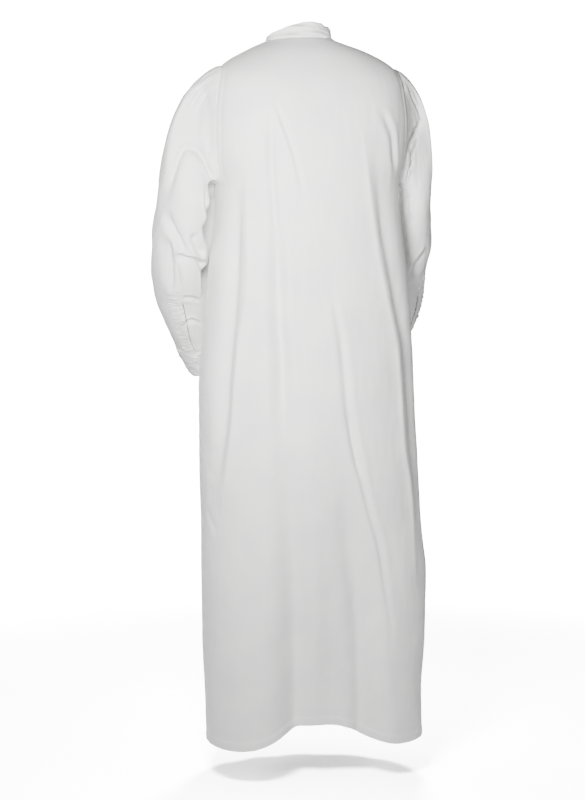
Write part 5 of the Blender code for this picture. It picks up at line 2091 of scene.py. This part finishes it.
@dataclass
class Button:
    """A turned four-hole button, its thread and the buttonhole under it.

    "section" goes from the underside round the rim to the sunk face: reach in radii and rise in thicknesses.
    """

    node: str
    centre: Array
    out: Array
    along: Array
    radius: float = 0.0055
    thickness: float = 0.0024
    section: tuple[Pair, ...] = (
        ((0.86, 0.00), (0.96, 0.12), (1.00, 0.35), (1.00, 0.70), (0.95, 0.93), (0.86, 1.00))
        + ((0.76, 0.95), (0.68, 0.78), (0.62, 0.70))
    )
    rim_sides: int = 48
    hole_sides: int = 12
    hole_radius: float = 0.00075
    hole_reach: float = 0.00135
    sharp: float = math.radians(40)
    thread_apart: float = 0.00018
    thread_proud: float = 0.0001
    hole_length: float = 0.0150
    hole_stitch: float = 0.0012
    hole_pitch: float = 0.0006
    hole_half_slot: float = 0.0002
    hole_sunk: float = 0.0004
    bar_half: float = 0.0015
    bar_pitch: float = 0.0003

    def axes(self) -> tuple[Array, Array, Array]:
        """Return the ways along the buttonhole, across it and out of the cloth."""
        out, first = unit(self.out), unit(self.along - self.out * float(self.along @ self.out))
        return first, np.cross(out, first), out

    def ring(self, mesh: bmesh.types.BMesh, middle: Pair, radius: float, rise: float, sides: int) -> list:
        """Add a closed ring of points.

        Args:
            mesh: The mesh.
            middle: Middle of the ring.
            radius: Its radius.
            rise: Its height.
            sides: Number of points.

        Returns:
            The ring's points.
        """
        turns = [2 * math.pi * step / sides for step in range(sides)]
        x, y = middle
        return [mesh.verts.new((x + radius * math.cos(t), y + radius * math.sin(t), rise)) for t in turns]

    def wall(self, mesh: bmesh.types.BMesh, lower: list, upper: list) -> None:
        """Join two rings with faces."""
        for a, b, c, d in zip(lower, lower[1:] + lower[:1], upper[1:] + upper[:1], upper):
            mesh.faces.new((a, b, c, d))

    def turned(self) -> bpy.types.Mesh:
        """Turn the section round and cut four holes through the sunk face.

        Returns:
            The button's mesh, lying flat.
        """
        mesh = bmesh.new()
        rings = [
            self.ring(mesh, (0, 0), reach * self.radius, rise * self.thickness, self.rim_sides)
            for reach, rise in self.section
        ]
        for lower, upper in zip(rings, rings[1:]):
            self.wall(mesh, lower, upper)
        loops = {0: [], -1: []}
        for quarter in range(4):
            angle = math.pi / 4 + quarter * math.pi / 2
            middle = self.hole_reach * math.cos(angle), self.hole_reach * math.sin(angle)
            for end in loops:
                rise = self.section[end][1] * self.thickness
                loops[end].append(self.ring(mesh, middle, self.hole_radius, rise, self.hole_sides))
        for low, high in zip(loops[0], loops[-1]):
            self.wall(mesh, high, low)
        for end, holes in loops.items():
            edges = []
            for loop in (rings[end], *holes):
                edges += [mesh.edges.get(pair) for pair in zip(loop, loop[1:] + loop[:1])]
            bmesh.ops.triangle_fill(mesh, use_beauty=True, use_dissolve=False, edges=edges)
        bmesh.ops.recalc_face_normals(mesh, faces=mesh.faces[:])
        data = bpy.data.meshes.new(self.node + "_turned")
        mesh.to_mesh(data)
        mesh.free()
        return data

    def make(self, resin: bpy.types.Material) -> None:
        """Make the button where it lies.

        Args:
            resin: Its material.
        """
        data = self.turned()
        local = np.array([vertex.co for vertex in data.vertices])
        world = self.centre + sum(local[:, axis : axis + 1] * way for axis, way in enumerate(self.axes()))
        data.vertices.foreach_set("co", world.astype(np.float32).ravel())
        data.materials.append(resin)
        data.shade_smooth()
        data.set_sharp_from_angle(angle=self.sharp)
        piece = put_in_scene(data.name, data)
        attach(piece, "root")
        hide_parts(self.node)
        log.info("%s: %d faces", piece.name, len(data.polygons))

    @classmethod
    def lying_on(cls, node: str, grid: ClothGrid, upright: bool) -> "Button":
        """Lay a button on the cloth where the solid button is.

        Args:
            node: The solid button.
            grid: The cloth's face.
            upright: Whether the buttonhole runs down the cloth.

        Returns:
            The button.
        """
        low, high = (np.array(corner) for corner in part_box(node))
        apart = np.linalg.norm(grid.points - (low + high) / 2, axis=2)
        row, column = np.unravel_index(np.argmin(apart), apart.shape)
        row = int(np.clip(row, 1, apart.shape[0] - 2))
        column = int(np.clip(column, 1, apart.shape[1] - 2))
        along = grid.points[row, column + 1] - grid.points[row, column - 1]
        if upright:
            along = grid.points[row + 1, column] - grid.points[row - 1, column]
        out = unit(grid.normals[row, column])
        return cls(node, grid.points[row, column] + out * LIE_GAP, out, unit(along))

    def sew_on(self, sewing: Sewing) -> None:
        """Pass the thread through the holes and work the buttonhole.

        Args:
            sewing: The sewing that gets the stitches.
        """
        first, second, out = self.axes()
        reach = self.hole_reach / math.sqrt(2)
        face = self.centre + out * (self.section[-1][1] * self.thickness + self.thread_proud)
        for row in (-1, 1):
            for shift in (-self.thread_apart, self.thread_apart):
                start = face + first * -reach + second * (row * reach + shift)
                sewing.add(start[None], (start + first * 2 * reach)[None], out[None])
        base, half = self.centre - out * self.hole_sunk, self.hole_length / 2
        places = np.arange(-half, half, self.hole_pitch)
        for row in (-1, 1):
            starts = base + first * places[:, None] + second * (row * self.hole_half_slot)
            ends = starts + second * (row * self.hole_stitch)
            sewing.add(starts, ends, np.repeat(out[None], len(places), axis=0))
        for end in (-1, 1):
            spots = base + first * (end * half + np.arange(4)[:, None] * end * self.bar_pitch)
            bar = second * self.bar_half
            sewing.add(spots - bar, spots + bar, np.repeat(out[None], 4, axis=0))


# --- Studio ---


@dataclass
class Studio:
    """A pale sweep of paper, soft lights and the camera."""

    floor_z: float = -1.515
    floor_half: float = 30.0
    view_from: Triple = (0.924, 3.892, -0.38)
    view_turn: float = 167.0
    view_dip: float = 5.2
    lens_mm: float = 87.39
    sensor_mm: float = 36.0
    ambient: float = 0.15
    backdrop: float = 20.0

    def make(self) -> None:
        """Make the floor, the lights, the world and the camera."""
        self.make_floor()
        self.make_light("key_softbox", (0.49, 1.13, -0.19), (0.0, 0.1, -0.32), 0.36, 51.0)
        self.make_light("side_softbox", (-2.0, 1.5, -0.2), (0.0, 0.0, -0.60), 1.0, 15.0)
        self.make_light("low_softbox", (1.9, 1.9, 0.1), (0.0, 0.0, -0.70), 1.0, 2.5)
        self.make_light("front_key_softbox", (-0.58, -1.26, -0.10), (0.0, -0.1, -0.30), 0.40, 66.0)
        self.make_light("front_side_softbox", (2.0, -1.5, -0.2), (0.0, 0.0, -0.60), 1.0, 18.0)
        self.make_world()
        self.make_camera()

    def make_world(self) -> None:
        """Make a white backdrop that is seen bright and lights the robe only a little."""
        world = bpy.data.worlds.new("white_studio")
        world.use_nodes = True
        tree = world.node_tree
        soft = tree.nodes["Background"]
        feed(soft, {"Color": linear("FFFFFF"), "Strength": self.ambient})
        white = add_node(tree, "Background", {"Color": linear("FFFFFF"), "Strength": self.backdrop})
        seen = add_node(tree, "LightPath").outputs["Is Camera Ray"]
        mixed = add_node(tree, "MixShader", {0: seen, 1: soft.outputs[0], 2: white.outputs[0]})
        feed(tree.nodes["World Output"], {"Surface": mixed.outputs[0]})
        bpy.context.scene.world = world

    def make_floor(self) -> None:
        """Make a wide flat floor of paper."""
        half = self.floor_half
        corners = [(-half, -half), (half, -half), (half, half), (-half, half)]
        mesh = bpy.data.meshes.new("paper_floor")
        mesh.from_pydata([(x, y, 0.0) for x, y in corners], [], [(0, 1, 2, 3)])
        mesh.materials.append(StudioPaper().make())
        floor = put_in_scene("paper_floor", mesh)
        floor.location.z = self.floor_z

    def make_light(self, name: str, place: Triple, aim: Triple, size: float, watts: float) -> None:
        """Make one square softbox.

        Args:
            name: Name of the light.
            place: Middle of its face.
            aim: Point that it faces.
            size: Length of its sides.
            watts: Power.
        """
        lamp = bpy.data.lights.new(name, "AREA")
        lamp.size, lamp.energy = size, watts
        light = put_in_scene(name, lamp)
        light.location = place
        light.rotation_euler = (Vector(aim) - Vector(place)).to_track_quat("-Z", "Y").to_euler()

    def make_camera(self) -> None:
        """Make the camera and set it as the scene's."""
        turn, dip = math.radians(self.view_turn), math.radians(self.view_dip)
        ahead = Vector((-math.sin(turn) * math.cos(dip), math.cos(turn) * math.cos(dip), -math.sin(dip)))
        lens = bpy.data.cameras.new("view_camera")
        lens.lens, lens.sensor_width = self.lens_mm, self.sensor_mm
        camera = put_in_scene("view_camera", lens)
        camera.location = self.view_from
        camera.rotation_euler = ahead.to_track_quat("-Z", "Y").to_euler()
        bpy.context.scene.camera = camera


# --- The whole robe ---


def main() -> None:
    """Build the robe piece by piece, then the studio."""
    logging.basicConfig(level=logging.INFO, format="%(name)s: %(message)s")
    finishes = Finishes.made()
    body = Body(finishes, BodyForm(), SeamRelief())
    body.shape()
    body.make_back()
    body.make_front()
    body.sew()
    buttons: list[Button] = []
    left = (LEFT_ARM, LEFT_SLEEVE_FOLDS, LEFT_SLEEVE_CREASES, 42 / 180, 1.32)
    right = (RIGHT_ARM, RIGHT_SLEEVE_FOLDS, RIGHT_SLEEVE_CREASES, 4 / 24, 1.12)
    for side, own, rests in ((Side.LEFT, left, True), (Side.RIGHT, right, False)):
        sleeve = Sleeve(finishes, side, *own, rests=rests)
        sleeve.shape(body)
        sleeve.make_sleeve()
        sleeve.make_strip()
        sleeve.make_cuff()
        sleeve.sew()
        buttons.append(Button.lying_on(f"gauntlet_button_{sleeve.word}", sleeve.strip, upright=True))
        for number in (1, 2):
            buttons.append(Button.lying_on(f"cuff_button_{sleeve.word}_{number}", sleeve.cuff, upright=False))
    collar = Collar(finishes)
    collar.make(body)
    collar.sew()
    placket = FrontPlacket(finishes)
    placket.make(body)
    placket.sew()
    buttons += [Button.lying_on(f"front_button_{number}", placket.grid, upright=True) for number in (1, 2, 3)]
    buttons.append(Button.lying_on("collar_button", collar.grid, upright=False))
    fastening = Sewing("button_sewing", finishes.thread, radius=0.00016)
    for button in buttons:
        button.make(finishes.resin)
        button.sew_on(fastening)
    fastening.make()
    Studio().make()


if __name__ == "__main__":
    main()
